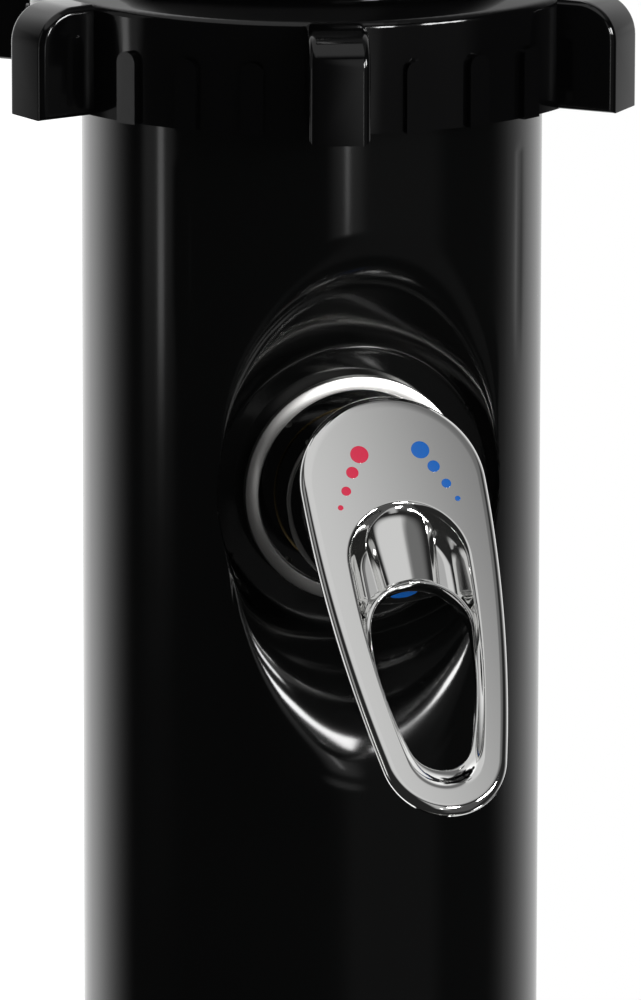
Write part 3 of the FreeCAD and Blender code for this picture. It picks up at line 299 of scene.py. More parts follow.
# %% [markdown]
# ## Floor
# The real shower is bolted to paving. Here a round pale floor stands under the foot. To
# the camera it is white apart from the object's shadow, and its rim fades out into the
# white around, which a plain plane would cut off with a line. Glossy surfaces don't
# mirror it, because the patches already say what is below.

# %% Floor
FLOOR_RADIUS = 1.5
FLOOR_CLEAR_RADIUS = 0.5
FLOOR_DROP = 0.5 * MM
FLOOR_CORNERS = 96
FLOOR_SHADE = 0.3


def add_mesh(name, points, faces, body, smooth=True):
    """Makes an object from an array of points and a list of faces."""
    mesh = bpy.data.meshes.new(name)
    mesh.from_pydata(np.asarray(points, float).tolist(), [], faces)
    mesh.validate()
    mesh.update()
    obj = bpy.data.objects.new(name, mesh)
    bpy.context.scene.collection.objects.link(obj)
    if smooth:
        mesh.polygons.foreach_set("use_smooth", np.ones(len(mesh.polygons), bool))
    if body:
        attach(obj, body)
    return obj


def floor_material():
    """White glow mixed with a share of matt white, which takes the shadow. From the
    clear radius to the rim it turns transparent."""
    material = bpy.data.materials.new("pale floor")
    material.use_nodes = True
    tree = material.node_tree
    tree.nodes.clear()
    coords = tree.nodes.new("ShaderNodeTexCoord")
    away = tree.nodes.new("ShaderNodeVectorMath")
    away.operation = "LENGTH"
    tree.links.new(coords.outputs["Object"], away.inputs[0])
    matt = tree.nodes.new("ShaderNodeBsdfDiffuse")
    glow = tree.nodes.new("ShaderNodeEmission")
    shade = tree.nodes.new("ShaderNodeMixShader")
    shade.inputs["Fac"].default_value = FLOOR_SHADE
    tree.links.new(glow.outputs[0], shade.inputs[1])
    tree.links.new(matt.outputs[0], shade.inputs[2])
    clear = tree.nodes.new("ShaderNodeBsdfTransparent")
    fade = tree.nodes.new("ShaderNodeMixShader")
    rim = ramp(tree, away.outputs["Value"], FLOOR_CLEAR_RADIUS, FLOOR_RADIUS)
    tree.links.new(rim, fade.inputs["Fac"])
    tree.links.new(shade.outputs[0], fade.inputs[1])
    tree.links.new(clear.outputs[0], fade.inputs[2])
    out = tree.nodes.new("ShaderNodeOutputMaterial")
    tree.links.new(fade.outputs[0], out.inputs["Surface"])
    return material


def make_floor():
    """A regular polygon just under the ground."""
    turns = np.linspace(0.0, FULL_TURN, FLOOR_CORNERS, endpoint=False)
    x, y = FLOOR_RADIUS * np.cos(turns), FLOOR_RADIUS * np.sin(turns)
    points = np.stack([x, y, np.full_like(turns, -FLOOR_DROP)], 1)
    floor = add_mesh("floor", points, [list(range(FLOOR_CORNERS))], None, smooth=False)
    floor.data.materials.append(floor_material())
    floor.visible_glossy = False
    return floor


make_floor()
print("floor radius", FLOOR_RADIUS)

# %% [markdown]
# ## Uneven gloss
# A moulding or a polished casting is never equally glossy all over. A texture picture
# could show that, but noise in Object coordinates needs no unwrapping and follows the
# piece when it moves. One node group turns the noise into a roughness, and every
# material places it with its own values.

# %% Uneven gloss
NOISE_DETAIL = 3.0


def noise(tree, scale):
    """A noise texture in Object coordinates, in cycles a metre."""
    coords = tree.nodes.new("ShaderNodeTexCoord")
    texture = tree.nodes.new("ShaderNodeTexNoise")
    texture.inputs["Scale"].default_value = scale
    texture.inputs["Detail"].default_value = NOISE_DETAIL
    tree.links.new(coords.outputs["Object"], texture.inputs["Vector"])
    return texture.outputs["Fac"]


def gloss_group():
    """The shared node group: roughness + (value - 0.5) times spread, kept in 0 to 1."""
    group = bpy.data.node_groups.new("uneven gloss", "ShaderNodeTree")
    for name in ("Value", "Roughness", "Spread"):
        group.interface.new_socket(name, in_out="INPUT", socket_type="NodeSocketFloat")
    group.interface.new_socket("Roughness", in_out="OUTPUT", socket_type="NodeSocketFloat")
    start = group.nodes.new("NodeGroupInput")
    end = group.nodes.new("NodeGroupOutput")
    centred = maths(group, "SUBTRACT", start.outputs["Value"], 0.5)
    change = maths(group, "MULTIPLY", centred, start.outputs["Spread"])
    rough = maths(group, "ADD", start.outputs["Roughness"], change, clamp=True)
    group.links.new(rough, end.inputs["Roughness"])
    return group


GLOSS = gloss_group()
print("node group", GLOSS.name)

# %% [markdown]
# ## Materials
# The tanks, the nut and the foot are black plastic, the mixer's parts that show are
# chromed, and the fittings are brass. A plain colour with one reflection is enough for
# each, because it is the studio that gives them their look. The chrome ring is less
# polished than the handle, so it has a satin chrome of its own.

# %% Materials
REFLECTIVE_INDEX = 1.5


def surface(name, color, metallic=0.0, roughness=0.3, scale=60.0, spread=0.05):
    """A material with a plain colour and a roughness that noise varies slightly."""
    material = bpy.data.materials.new(name)
    material.use_nodes = True
    tree = material.node_tree
    shader = tree.nodes["Principled BSDF"]
    shader.inputs["Base Color"].default_value = (*color, 1.0)
    shader.inputs["Metallic"].default_value = metallic
    shader.inputs["IOR"].default_value = REFLECTIVE_INDEX
    shader.inputs["Roughness"].default_value = roughness
    gloss = tree.nodes.new("ShaderNodeGroup")
    gloss.node_tree = GLOSS
    tree.links.new(noise(tree, scale), gloss.inputs["Value"])
    gloss.inputs["Roughness"].default_value = roughness
    gloss.inputs["Spread"].default_value = spread
    tree.links.new(gloss.outputs["Roughness"], shader.inputs["Roughness"])
    return material


def metal(name, color, roughness, scale=60.0, spread=0.05):
    """A surface whose colour is that of its reflection."""
    return surface(name, color, 1.0, roughness, scale, spread)


MATERIALS = {
    "tank_plastic": surface(
        "satin black", (0.0016, 0.0017, 0.0017), roughness=0.11, scale=30, spread=0.04
    ),
    "base_plastic": surface(
        "foot black", (0.004, 0.004, 0.004), roughness=0.32, scale=50, spread=0.08
    ),
    "nut_plastic": surface("gloss black", (0.0012, 0.0012, 0.0013), roughness=0.09, scale=70),
    "chrome": metal("chrome", (0.86, 0.86, 0.85), 0.05, scale=40, spread=0.03),
    "brass_fitting": metal("brass", (0.72, 0.53, 0.24), 0.25),
    "steel_screws": metal("steel", (0.6, 0.6, 0.61), 0.3),
    "seal_rubber": surface("seal rubber", (0.012, 0.012, 0.012), roughness=0.6),
    "nozzle_rubber": surface("nozzle rubber", (0.25, 0.26, 0.27), roughness=0.55),
    "hose_plastic": surface("hose plastic", (0.6, 0.62, 0.62), roughness=0.4),
    "cartridge_plastic": surface("cartridge plastic", (0.75, 0.75, 0.72), roughness=0.35),
    "ceramic_discs": surface("ceramic", (0.88, 0.87, 0.84), roughness=0.12),
    "hot_enamel": surface("red enamel", (0.55, 0.02, 0.06), roughness=0.2),
    "cold_enamel": surface("blue enamel", (0.004, 0.10, 0.40), roughness=0.2),
}
SATIN_CHROME = metal("satin chrome", (0.84, 0.83, 0.81), 0.30, scale=90, spread=0.10)
SLOTS = {entry["node"]: entry["material_slot"] for entry in frame["record"]["subparts"]}
for node_name, node in frame["nodes"].items():
    node.data.materials.clear()
    node.data.materials.append(MATERIALS[SLOTS[node_name]])
print(len(MATERIALS), "materials on", len(frame["nodes"]), "nodes")

# %% [markdown]
# ## Smooth copies of CAD solids
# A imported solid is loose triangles, so its round faces would show their facets. Most
# pieces need no more than smooth shading. A copy with its corners merged can have that,
# with an edge kept sharp wherever two faces meet at more than a set angle. The few
# pieces that fill the picture are shaped anew in the cells below.

# %% Smooth copies
SHARP_ANGLE = 32.0
MERGE_STEPS = 1e6
SHAPED_BELOW = {"lower_tank", "mixer_ring", "handle", "hot_dots", "cold_dots"}


def smooth_copy(name):
    """A merged, smooth-shaded copy of a CAD node, which stands in for it. Corners that
    agree to a micrometre become one, and a triangle that loses a corner is dropped."""
    source = frame["nodes"][name]
    mesh = source.data
    points = np.zeros(len(mesh.vertices) * 3)
    mesh.vertices.foreach_get("co", points)
    points = points.reshape(-1, 3)
    mesh.calc_loop_triangles()
    corners = np.zeros(len(mesh.loop_triangles) * 3, int)
    mesh.loop_triangles.foreach_get("vertices", corners)
    places = np.round(points * MERGE_STEPS).astype(np.int64)
    _, first, back = np.unique(places, axis=0, return_index=True, return_inverse=True)
    triangles = back.ravel()[corners].reshape(-1, 3)
    whole = (triangles != np.roll(triangles, 1, axis=1)).all(axis=1)
    copy = add_mesh(name + "_smooth", points[first], triangles[whole].tolist(), None)
    copy.data.set_sharp_from_angle(angle=math.radians(SHARP_ANGLE))
    copy.data.materials.append(MATERIALS[SLOTS[name]])
    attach(copy, source["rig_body"])
    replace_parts(copy, name)
    return copy


smoothed = [smooth_copy(name) for name in sorted(frame["nodes"]) if name not in SHAPED_BELOW]
print("smoothed", len(smoothed), "pieces")

# %% [markdown]
# ## Closed grids
# Each surface below is a grid: rows of points that run once round, joined by quads. The
# first and last row are closed by a fan, or joined to each other as on a ring. Whole
# arrays of point numbers give the faces, and Blender turns them outwards at the end.

# %% Closed grids


def grid_faces(rows, columns):
    """Quads of a grid of points stored row by row, whose last column joins its first.
    The corners of a quad at row r and column c are rc, rc + 1 and the two above."""
    r, c = np.meshgrid(np.arange(rows - 1), np.arange(columns), indexing="ij")
    r, c = r.ravel(), c.ravel()
    n = (c + 1) % columns
    low, high = r * columns, (r + 1) * columns
    return np.stack([low + c, low + n, high + n, high + c], 1)


def grid_part(rings, wrap_rows, offset):
    """Points and faces of one closed grid, whose point numbers start at an offset."""
    points = np.concatenate(rings)
    rows, columns = len(rings), len(rings[0])
    faces = (grid_faces(rows, columns) + offset).tolist()
    ring = np.arange(columns)
    following = np.roll(ring, -1)
    last = ring + (rows - 1) * columns
    if wrap_rows:
        closing = np.stack([last, np.roll(last, -1), following, ring], 1) + offset
        return points, faces + closing.tolist()
    middle = len(points)
    points = np.vstack([points, rings[0].mean(0), rings[-1].mean(0)])
    start = np.stack([following, ring, np.full(columns, middle)], 1) + offset
    end = np.stack([last, np.roll(last, -1), np.full(columns, middle + 1)], 1) + offset
    return points, faces + start.tolist() + end.tolist()


def add_grids(name, parts, body, slot_name, wrap_rows=False, sharp=35.0):
    """One object from one or more closed grids, with its faces turned outwards. With
    wrap_rows the last row joins the first."""
    points, faces, offset = [], [], 0
    for rings in parts:
        part_points, part_faces = grid_part(rings, wrap_rows, offset)
        points.append(part_points)
        faces += part_faces
        offset += len(part_points)
    obj = add_mesh(name, np.concatenate(points), faces, body)
    shape = bmesh.new()
    shape.from_mesh(obj.data)
    bmesh.ops.recalc_face_normals(shape, faces=shape.faces)
    shape.to_mesh(obj.data)
    shape.free()
    obj.data.set_sharp_from_angle(angle=math.radians(sharp))
    obj.data.materials.append(MATERIALS[slot_name])
    return obj


print("a grid of 3 rows and 4 columns has", len(grid_faces(3, 4)), "quads")

# %% [markdown]
# ## Recess of the lower tank
# The real tank is one blow-moulded skin. The recess could be cut out of a cylinder with
# a Boolean and a Bevel, but the blends of a moulding change their width all the way
# round, so a formula is used. From the front the skin is the nearer of two surfaces: the
# tube, and the recess. A smooth minimum blends the two.
#
# The recess is a round pad, and round it a slope that opens into a tall mouth. The slope
# runs outwards by a length that grows from the sides to the top and bottom with a power
# of the cosine of the direction. Above the pad it is straight, and below it swells like
# a bell: its rise is 1 - (1 - s)^p at a share s of the run, with p from 1 to 2, and past
# the mouth it goes on by (p(s - 1))^p.

# %% Recess of the lower tank
PAD_DEPTH = 50.0 * MM
PAD_RADIUS = 47.5 * MM
SIDE_RUN = 1.0 * MM
UPPER_RUN = 33.0 * MM
LOWER_RUN = 49.0 * MM
UPPER_POWER = 2.8
LOWER_POWER = 4.0
LEAST_RISE = 2.0 * MM
PAD_BLEND = 1.6 * MM
RIM_SOFT = 9.0 * MM
RIM_TIGHT = 3.5 * MM
RIM_BELOW = 0.4 * MM
NEAR_NOTHING = 1e-6


def smooth_min(a, b, k):
    """The smaller of a and b, blended over a width k: the crease between two surfaces
    becomes a round fillet."""
    h = np.clip(0.5 + 0.5 * (b - a) / k, 0.0, 1.0)
    return b * (1 - h) + a * h - k * h * (1 - h)


def smooth_max(a, b, k):
    """The larger of a and b, blended over a width k."""
    return -smooth_min(-a, -b, k)


def recess_rise(x, z):
    """The share of the rise from the pad to the tube's front at a place: 0 at the pad's
    edge, 1 at the mouth."""
    away = np.maximum(np.hypot(x, z), NEAR_NOTHING)
    lean = np.abs(z) / away
    below = z < 0
    run = np.where(below, LOWER_RUN, UPPER_RUN) - SIDE_RUN
    run = SIDE_RUN + run * lean ** np.where(below, LOWER_POWER, UPPER_POWER)
    share = (away - PAD_RADIUS) / run
    power = 1.0 + np.where(below, lean, 0.0)
    slope = 1.0 - (1.0 - np.clip(share, 0.0, 1.0)) ** power
    beyond = (np.maximum(share - 1.0, 0.0) * power) ** power
    return slope + np.minimum(share, 0.0) * power + beyond


def skin_depth(x, height, inset=0.0):
    """How far in front of the tank's axis the front skin lies at a place. With an inset it
    is the inside of the wall, for a recess that much larger and further back."""
    z = height - MIXER.z
    tube = np.sqrt(np.clip((TUBE - inset) ** 2 - x**2, 0.0, None))
    away = np.maximum(np.hypot(x, z), NEAR_NOTHING)
    shrink = np.clip(1.0 - inset / away, 0.0, None)
    full = np.maximum(tube - PAD_DEPTH + inset, LEAST_RISE)
    rise = recess_rise(x * shrink, z * shrink) * full
    slope = PAD_DEPTH - inset + smooth_max(rise, np.zeros_like(rise), PAD_BLEND)
    above, below = np.clip(z / away, 0.0, 1.0), np.clip(-z / away, 0.0, 1.0)
    soft = RIM_TIGHT + (RIM_SOFT - RIM_TIGHT) * above**2 + (RIM_BELOW - RIM_TIGHT) * below**2
    return smooth_min(tube, slope, soft)


print("pad", round(float(skin_depth(0.0, MIXER.z)) / MM, 2), "mm in front of the axis")

# %% [markdown]
# ## Skin of the lower tank
# The tank's surface is a grid of heights and turns about its axis. It goes up the
# outside, round the neck and down the inside, so the wall has its real thickness. Rows
# and columns crowd together where the recess is, because that is where the skin bends.

# %% Skin of the lower tank
TANK_FOOT = 12.0 * MM
LOW_ROWS = 24
HIGH_ROWS = 6
TOP_OVERLAP = 1.0 * MM
NECK_RISE = 7 * MM
NECK_RADIUS = 86.4 * MM
NECK_TOP = NUT_BOTTOM + 26.0 * MM
WALL = 4.0 * MM
RECESS_REACH = 112.0 * MM
ROW_STEP = 1.0 * MM
INNER_STEP_RATIO = 4
ROW_DIGITS = 7
COLUMN_STEP = 1.0
SIDE_CROWDING = 3
FLANK_WIDENING = 1.5
SIDE_FROM, SIDE_TO = 33.0, 42.0
REAR_COLUMNS = 80
LEAST_FACING = 0.02
FRONT_SHARE = 0.99
TANK_SHARP = 40.0


def tank_rows(fine):
    """Heights of the grid's rows, a fine step apart near the mixer."""
    low = np.linspace(TANK_FOOT, MIXER.z - RECESS_REACH, LOW_ROWS)
    near = np.arange(MIXER.z - RECESS_REACH, MIXER.z + RECESS_REACH, fine)
    high = np.linspace(MIXER.z + RECESS_REACH, NUT_BOTTOM + TOP_OVERLAP, HIGH_ROWS)
    return np.unique(np.round(np.concatenate([low, near, high]), ROW_DIGITS))


def tank_turns():
    """Turns of the grid's columns about the axis, close together at the recess's sides."""
    edge, wide = COLUMN_STEP / SIDE_CROWDING, FLANK_WIDENING * COLUMN_STEP
    parts = [
        np.arange(-SIDE_TO, -SIDE_FROM, edge),
        np.arange(SIDE_FROM, SIDE_TO, edge),
        np.arange(-90.0, -SIDE_TO, wide),
        np.arange(-SIDE_FROM, SIDE_FROM, COLUMN_STEP),
        np.arange(SIDE_TO, 90.0, wide),
        np.linspace(90.0, 270.0, REAR_COLUMNS)[:-1],
    ]
    return np.radians(np.sort(np.concatenate(parts)))


def tank_ring(height, turns, inset, pressed=True, radius=TUBE):
    """One row of the grid: a circle, pressed in at the front where the recess is."""
    reach = radius - inset
    x, y = reach * np.sin(turns), -reach * np.cos(turns)
    if pressed and abs(height - MIXER.z) < RECESS_REACH:
        front = (np.cos(turns) > LEAST_FACING) & (np.abs(x) < FRONT_SHARE * reach)
        skin = -skin_depth(x, np.full_like(x, height), inset)
        y = np.where(front, np.maximum(y, skin), y)
    return np.stack([x, y, np.full_like(x, height)], 1)


def build_tank():
    """A closed skin: up the outside, round the neck, and down the inside."""
    turns = tank_turns()
    rings = [tank_ring(z, turns, 0.0) for z in tank_rows(ROW_STEP)]
    rings.append(tank_ring(NUT_BOTTOM + NECK_RISE, turns, 0.0, False, NECK_RADIUS))
    rings.append(tank_ring(NECK_TOP, turns, 0.0, False, NECK_RADIUS))
    rings.append(tank_ring(NECK_TOP, turns, WALL, False))
    inner_rows = tank_rows(INNER_STEP_RATIO * ROW_STEP)[::-1]
    rings += [tank_ring(z, turns, WALL) for z in inner_rows]
    name, slot_name = "lower_tank_skin", "tank_plastic"
    return add_grids(name, [rings], "column", slot_name, wrap_rows=True, sharp=TANK_SHARP)


tank = build_tank()
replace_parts(tank, "lower_tank")
print("lower tank", len(tank.data.polygons), "faces")

# %% [markdown]
# ## Bosses at the rear
# The hose connector and the drain plug need a flat face to seal against, so the tube
# has a round boss for each. A short turned disc that starts inside the tube does it,
# and no Boolean is needed, because its root is hidden in the wall.

# %% Bosses at the rear
BOSS_FACE = 82.0 * MM
BOSS_ROOT = 62 * MM
BOSS_RADIUS = 19.0 * MM
BOSS_EDGE = 0.8 * MM
BOSS_HEIGHTS = (165.0 * MM, 104.0 * MM)
BOSS_COLUMNS = 64
BOSS_PROFILE = (
    (BOSS_RADIUS, BOSS_ROOT),
    (BOSS_RADIUS, BOSS_FACE - BOSS_EDGE),
    (BOSS_RADIUS - BOSS_EDGE, BOSS_FACE),
)


def boss_rows(height):
    """Circles of each radius of the profile, at its depth behind the tank's axis."""
    turns = np.linspace(0.0, FULL_TURN, BOSS_COLUMNS, endpoint=False)
    rows = []
    for radius, depth in BOSS_PROFILE:
        x, z = radius * np.cos(turns), height + radius * np.sin(turns)
        rows.append(np.stack([x, np.full_like(x, depth), z], 1))
    return rows


boss_parts = [boss_rows(height) for height in BOSS_HEIGHTS]
bosses = add_grids("tank_bosses", boss_parts, "column", "tank_plastic")
print(len(BOSS_HEIGHTS), "bosses,", len(bosses.data.polygons), "faces")

# %% [markdown]
# ## Chrome ring
# The ring that stands on the pad is a turned part, so it is a profile carried round the
# mixer's axis. A Screw modifier could turn it too, but a grid of points gives every
# corner its own small arc, and it is the polished edge that catches light.

# %% Chrome ring
AXIS_COLUMNS = 160
ARC_POINTS = 7
RING_BORE = 30.3
RING_FOOT_RADIUS = 36.2
RING_RADIUS = 38.4
RING_LIP_RADIUS = 33.7
RING_FOOT = 50.0
RING_SEAT = 52.0
RING_SHOULDER = 54.8
RING_FRONT = 58.0
RING_OUTER_ROUND = 0.6
RING_OUTER_DROP = 1.2
RING_OUTER_ARC = (0, 68)
RING_INNER_ROUND = 0.5
RING_INNER_ARC = (84, 180)


def arc(centre, radius, first, last):
    """Points of an arc of (radius, depth), between two angles in degrees."""
    angles = np.radians(np.linspace(first, last, ARC_POINTS))
    return [(centre[0] + radius * math.cos(a), centre[1] + radius * math.sin(a)) for a in angles]


def turned_rows(profile):
    """Circles round the mixer's axis, from a profile of (radius, depth in front of the
    tank's axis) in mm: x = r cos t, z = r sin t."""
    turns = np.linspace(0.0, FULL_TURN, AXIS_COLUMNS, endpoint=False)
    rings = []
    for radius, depth in profile:
        x = radius * MM * np.cos(turns) + MIXER.x
        z = radius * MM * np.sin(turns) + MIXER.z
        rings.append(np.stack([x, np.full_like(x, -depth * MM + MIXER.y), z], 1))
    return rings


ring_profile = [(RING_BORE, RING_FOOT), (RING_FOOT_RADIUS, RING_FOOT)]
ring_profile += [(RING_RADIUS, RING_SHOULDER)]
outer_round = (RING_RADIUS - RING_OUTER_ROUND, RING_FRONT - RING_OUTER_DROP)
ring_profile += arc(outer_round, RING_OUTER_ROUND, *RING_OUTER_ARC)
inner_round = (RING_LIP_RADIUS + RING_INNER_ROUND, RING_FRONT - RING_INNER_ROUND)
ring_profile += arc(inner_round, RING_INNER_ROUND, *RING_INNER_ARC)
ring_profile += [(RING_LIP_RADIUS, RING_SEAT), (RING_BORE, RING_SEAT)]
ring_rows = turned_rows(ring_profile)
ring = add_grids("mixer_ring_turned", [ring_rows], "column", "chrome", wrap_rows=True)
ring.data.materials[0] = SATIN_CHROME
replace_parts(ring, "mixer_ring")
print("ring", len(ring.data.polygons), "faces")

# %% [markdown]
# ## Outlines of the handle
# The handle is one polished casting, and seen flat it is three loops inside each other:
# its outer edge, the edge of its arched opening, and the finger slot. Each loop is two
# end circles joined by two long arcs that touch both. It could be drawn as a curve, but
# the front's height needs the distance to a loop, and for arcs that is a short formula.

# %% Outlines of the handle

# radius and centre of the top circle, radius and centre of the end circle, in mm
HEAD = (31.5, 16.5, 21.3, -79.5)
OPENING = (20.5, -12.0, 13.3, -79.5)
SLOT = (17.2, -36.8, 11.2, -73.2)


def side_arc(loop):
    """Radius of the long arcs that join a loop's two end circles, and their angle."""
    top_radius, top_centre, end_radius, end_centre = loop
    span = top_centre - end_centre
    side = (top_radius**2 + span**2 - end_radius**2) / (2 * (top_radius - end_radius))
    return side, math.asin(span / (side - end_radius))


def loop_distance(x, y, loop):
    """Distance from a loop's outline in the face's plane, less than 0 inside it."""
    top_radius, top_centre, end_radius, end_centre = loop
    side, lean = side_arc(loop)
    x = np.abs(x)
    top = np.hypot(x, y - top_centre) - top_radius
    end = np.hypot(x, y - end_centre) - end_radius
    flank = np.hypot(x - top_radius + side, y - top_centre) - side
    angle = np.arctan2(top_centre - y, x - top_radius + side)
    return np.where(y > top_centre, top, np.where(angle < lean, flank, end))


def loop_points(t, loop):
    """Points of a loop's outline and their outward directions, for t from 0 to 4: the
    top arc from the right, the left flank, the end arc and the right flank."""
    top_radius, top_centre, end_radius, end_centre = loop
    side, lean = side_arc(loop)
    part = np.floor(t).astype(int) % 4
    f = t - np.floor(t)
    angle = np.choose(part, [
        math.pi * f,
        math.pi + lean * f,
        math.pi + lean + (math.pi - 2 * lean) * f,
        2 * math.pi - lean * (1 - f),
    ])
    radius = np.choose(part, [top_radius, side, end_radius, side])
    middle_x = np.choose(part, [0.0, side - top_radius, 0.0, top_radius - side])
    middle_y = np.choose(part, [top_centre, top_centre, end_centre, top_centre])
    away = np.stack([np.cos(angle), np.sin(angle)], -1)
    return np.stack([middle_x, middle_y], -1) + away * radius[..., None], away


print("long arcs of the outer edge", round(side_arc(HEAD)[0], 1), "mm in radius")

# %% [markdown]
# ## Front of the handle
# The front is a height over the plane of its face. It is the face's flat dome, and where
# it lies lower, the highest of three others: the floor of the arched recess, the rib
# down its middle, and the thin sill above the slot. Sculpting could give these too, but
# soft minimums and maximums join them just as the fillets of a casting do.

# %% Front of the handle
CROWN_RADIUS = 900.0
CROWN_MIDDLE = 10.0
CROWN_LENGTHWAYS = 0.3
BEVEL_DEPTH = 5.0
BEVEL_POWER = 1.7
RECESS_DEPTH = 8.0
RECESS_FADE = (-56.0, -34.0)
WALL_STEEPNESS = 1.7
WALL_ROUND = 4.0
OUTSIDE_STEEPNESS = 1.6
RIB_TOP = (12.6, 8.5)
RIB_END = (9.6, -19.6)
RIB_CREST = 1.8
RIB_CREST_RUN = 2.5
RIB_CROWN = 46.0
RIB_STEEPNESS = 3.2
RIB_INSET = 0.4
RIB_ROUND = 1.2
RIB_TAPER_END = 1.3
RIB_TAIL = 8.0
BELOW_ALL = -20.0
SILL_WIDTH = 1.5
SILL_DEPTH = 1.2
SILL_FADE = (30.0, 52.0)
SILL_STEEPNESS = 3.5
SILL_ROUND = 0.5
RIB_BLEND = 0.8
SILL_BLEND = 0.5
FACE_BLEND = 1.4


def smooth_step(value, low, high):
    """0 below low, 1 above high, and a smooth cubic between."""
    f = np.clip((value - low) / (high - low), 0.0, 1.0)
    return f * f * (3 - 2 * f)


def soft_ramp(value, width):
    """0 for a value well below 0 and the value itself well above, rounded over a width."""
    return 0.5 * (value + np.sqrt(value**2 + width**2))


def face_crown(x, y):
    """The face itself: a very flat dome, flatter along the handle than across."""
    return -(x**2 + CROWN_LENGTHWAYS * (y - CROWN_MIDDLE) ** 2) / (2 * CROWN_RADIUS)


def recess_floor(y, inside, beyond):
    """The lower of a bevel, which falls with a power of the share of the way from the
    opening's edge to the slot, and a steep wall down to the recess's depth. Outside the
    opening it rises, so that the face counts there."""
    share = np.clip(inside / np.maximum(inside + beyond, NEAR_NOTHING), 0.0, 1.0)
    bevel = -BEVEL_DEPTH * (1 - (1 - share) ** BEVEL_POWER)
    depth = RECESS_DEPTH * smooth_step(y, *RECESS_FADE)
    wall = -smooth_min(WALL_STEEPNESS * np.clip(inside, 0, None), depth, WALL_ROUND)
    return np.where(inside > 0, np.minimum(bevel, wall), -OUTSIDE_STEEPNESS * inside)


def rib_height(x, y):
    """A rounded ridge that tapers downwards: its crest sinks quickly to a set depth, and
    beyond its half width it falls away steeply."""
    down = RIB_TOP[1] - y
    run = np.clip(down / (RIB_TOP[1] - RIB_END[1]), 0.0, RIB_TAPER_END)
    half = RIB_TOP[0] + (RIB_END[0] - RIB_TOP[0]) * run
    sunk = 1 - np.exp(-np.clip(down, 0, None) / RIB_CREST_RUN)
    crest = -RIB_CREST * sunk - x**2 / RIB_CROWN
    rib = crest - RIB_STEEPNESS * soft_ramp(np.abs(x) - half + RIB_INSET, RIB_ROUND)
    return np.where(y > RIB_END[1] - RIB_TAIL, rib, BELOW_ALL)


def sill_height(y, beyond):
    """A lip as wide as the sill along the slot's edge, which sinks into the bevel lower
    down the slot."""
    top = -SILL_DEPTH - (BEVEL_DEPTH - SILL_DEPTH) * smooth_step(-y, *SILL_FADE)
    return top - SILL_STEEPNESS * soft_ramp(beyond - SILL_WIDTH, SILL_ROUND)


def face_height(x, y):
    """Height of the handle's front over the plane of its face, in mm."""
    inside = -loop_distance(x, y, OPENING)
    beyond = np.clip(loop_distance(x, y, SLOT), 0.0, None)
    dip = smooth_max(recess_floor(y, inside, beyond), rib_height(x, y), RIB_BLEND)
    dip = smooth_max(dip, sill_height(y, beyond), SILL_BLEND)
    return smooth_min(face_crown(x, y), dip, FACE_BLEND)


rib_middle = (RIB_TOP[1] + RIB_END[1]) / 2
print("rib's crest at mid height", round(float(face_height(0.0, rib_middle)), 2), "mm")

# %% [markdown]
# ## Surface of the handle
# The grid runs once round the loop in one direction. In the other it goes from the
# slot's lip outwards over the front, round the outer edge, back behind the slab and up
# the slot's wall, so that it closes on itself like a ring. At rest the handle is turned
# a little, as in the picture, and its face leans back.

# %% Surface of the handle
REST_TURN = math.radians(1.2)
FACE_TILT = math.radians(36.0)
FACE_OFFSET = 116.0 * MM
SLAB = 9.0
FRONT_ROUND = 3.0
BACK_ROUND = 5.0
SLOT_EDGE = 0.5
SLOT_BACK = 1.0
LOOP_STEPS = (250, 96, 110, 96)
INNER_SHARE = 0.5
INNER_ROWS = 90
OUTER_ROWS = 16
EDGE_POINTS = 9
SLOT_BACK_POINTS = 4
SLOT_EDGE_POINTS = 5
HANDLE_SHARP = 50.0
HANDLE_TURN = Matrix.Rotation(REST_TURN, 3, Vector((0, -1, 0)))
HANDLE_TILT = Matrix.Rotation(math.radians(90.0) - FACE_TILT, 3, "X")
HANDLE_PLACE = HANDLE_TURN @ HANDLE_TILT
HANDLE_ORIGIN = MIXER + Vector((0.0, -FACE_OFFSET, 0.0))


def on_handle(points):
    """Points of the handle's own frame, in mm, turned, tilted and moved into place."""
    place = np.array(HANDLE_PLACE)
    return np.asarray(points) @ place.T * MM + np.array(HANDLE_ORIGIN)


def loop_columns():
    """The grid's steps round the loop, close together under the arch."""
    share = 1.0
    counts = [int(n * share) for n in LOOP_STEPS]
    return np.concatenate([k + np.arange(n) / n for k, n in enumerate(counts)])


def flat_row(base, away, inset, height):
    """A row of the grid: a loop moved inwards by an inset, at a height."""
    xy = base - away * inset
    z = np.full(len(xy), height) if np.isscalar(height) else height
    return np.column_stack([xy, z])


def quarter_round(count):
    """Even steps a through a quarter turn, each as 1 - sin a and 1 - cos a: how far a
    rounded edge of radius 1 keeps from the corner's two sides."""
    return [(1 - math.sin(a), 1 - math.cos(a)) for a in np.radians(np.linspace(0, 90, count))]


def front_rows(outer, outer_away, inner, inner_away):
    """Rows from the slot's lip to the outer edge's rounding, closer near the slot."""
    start = inner + inner_away * SLOT_EDGE
    end = outer - outer_away * FRONT_ROUND
    near = np.linspace(0.0, INNER_SHARE, INNER_ROWS)
    far = np.linspace(INNER_SHARE, 1.0, OUTER_ROWS)[1:]
    rows = []
    for share in np.concatenate([near, far]):
        xy = start + (end - start) * share
        rows.append(np.column_stack([xy, face_height(xy[:, 0], xy[:, 1])]))
    return rows


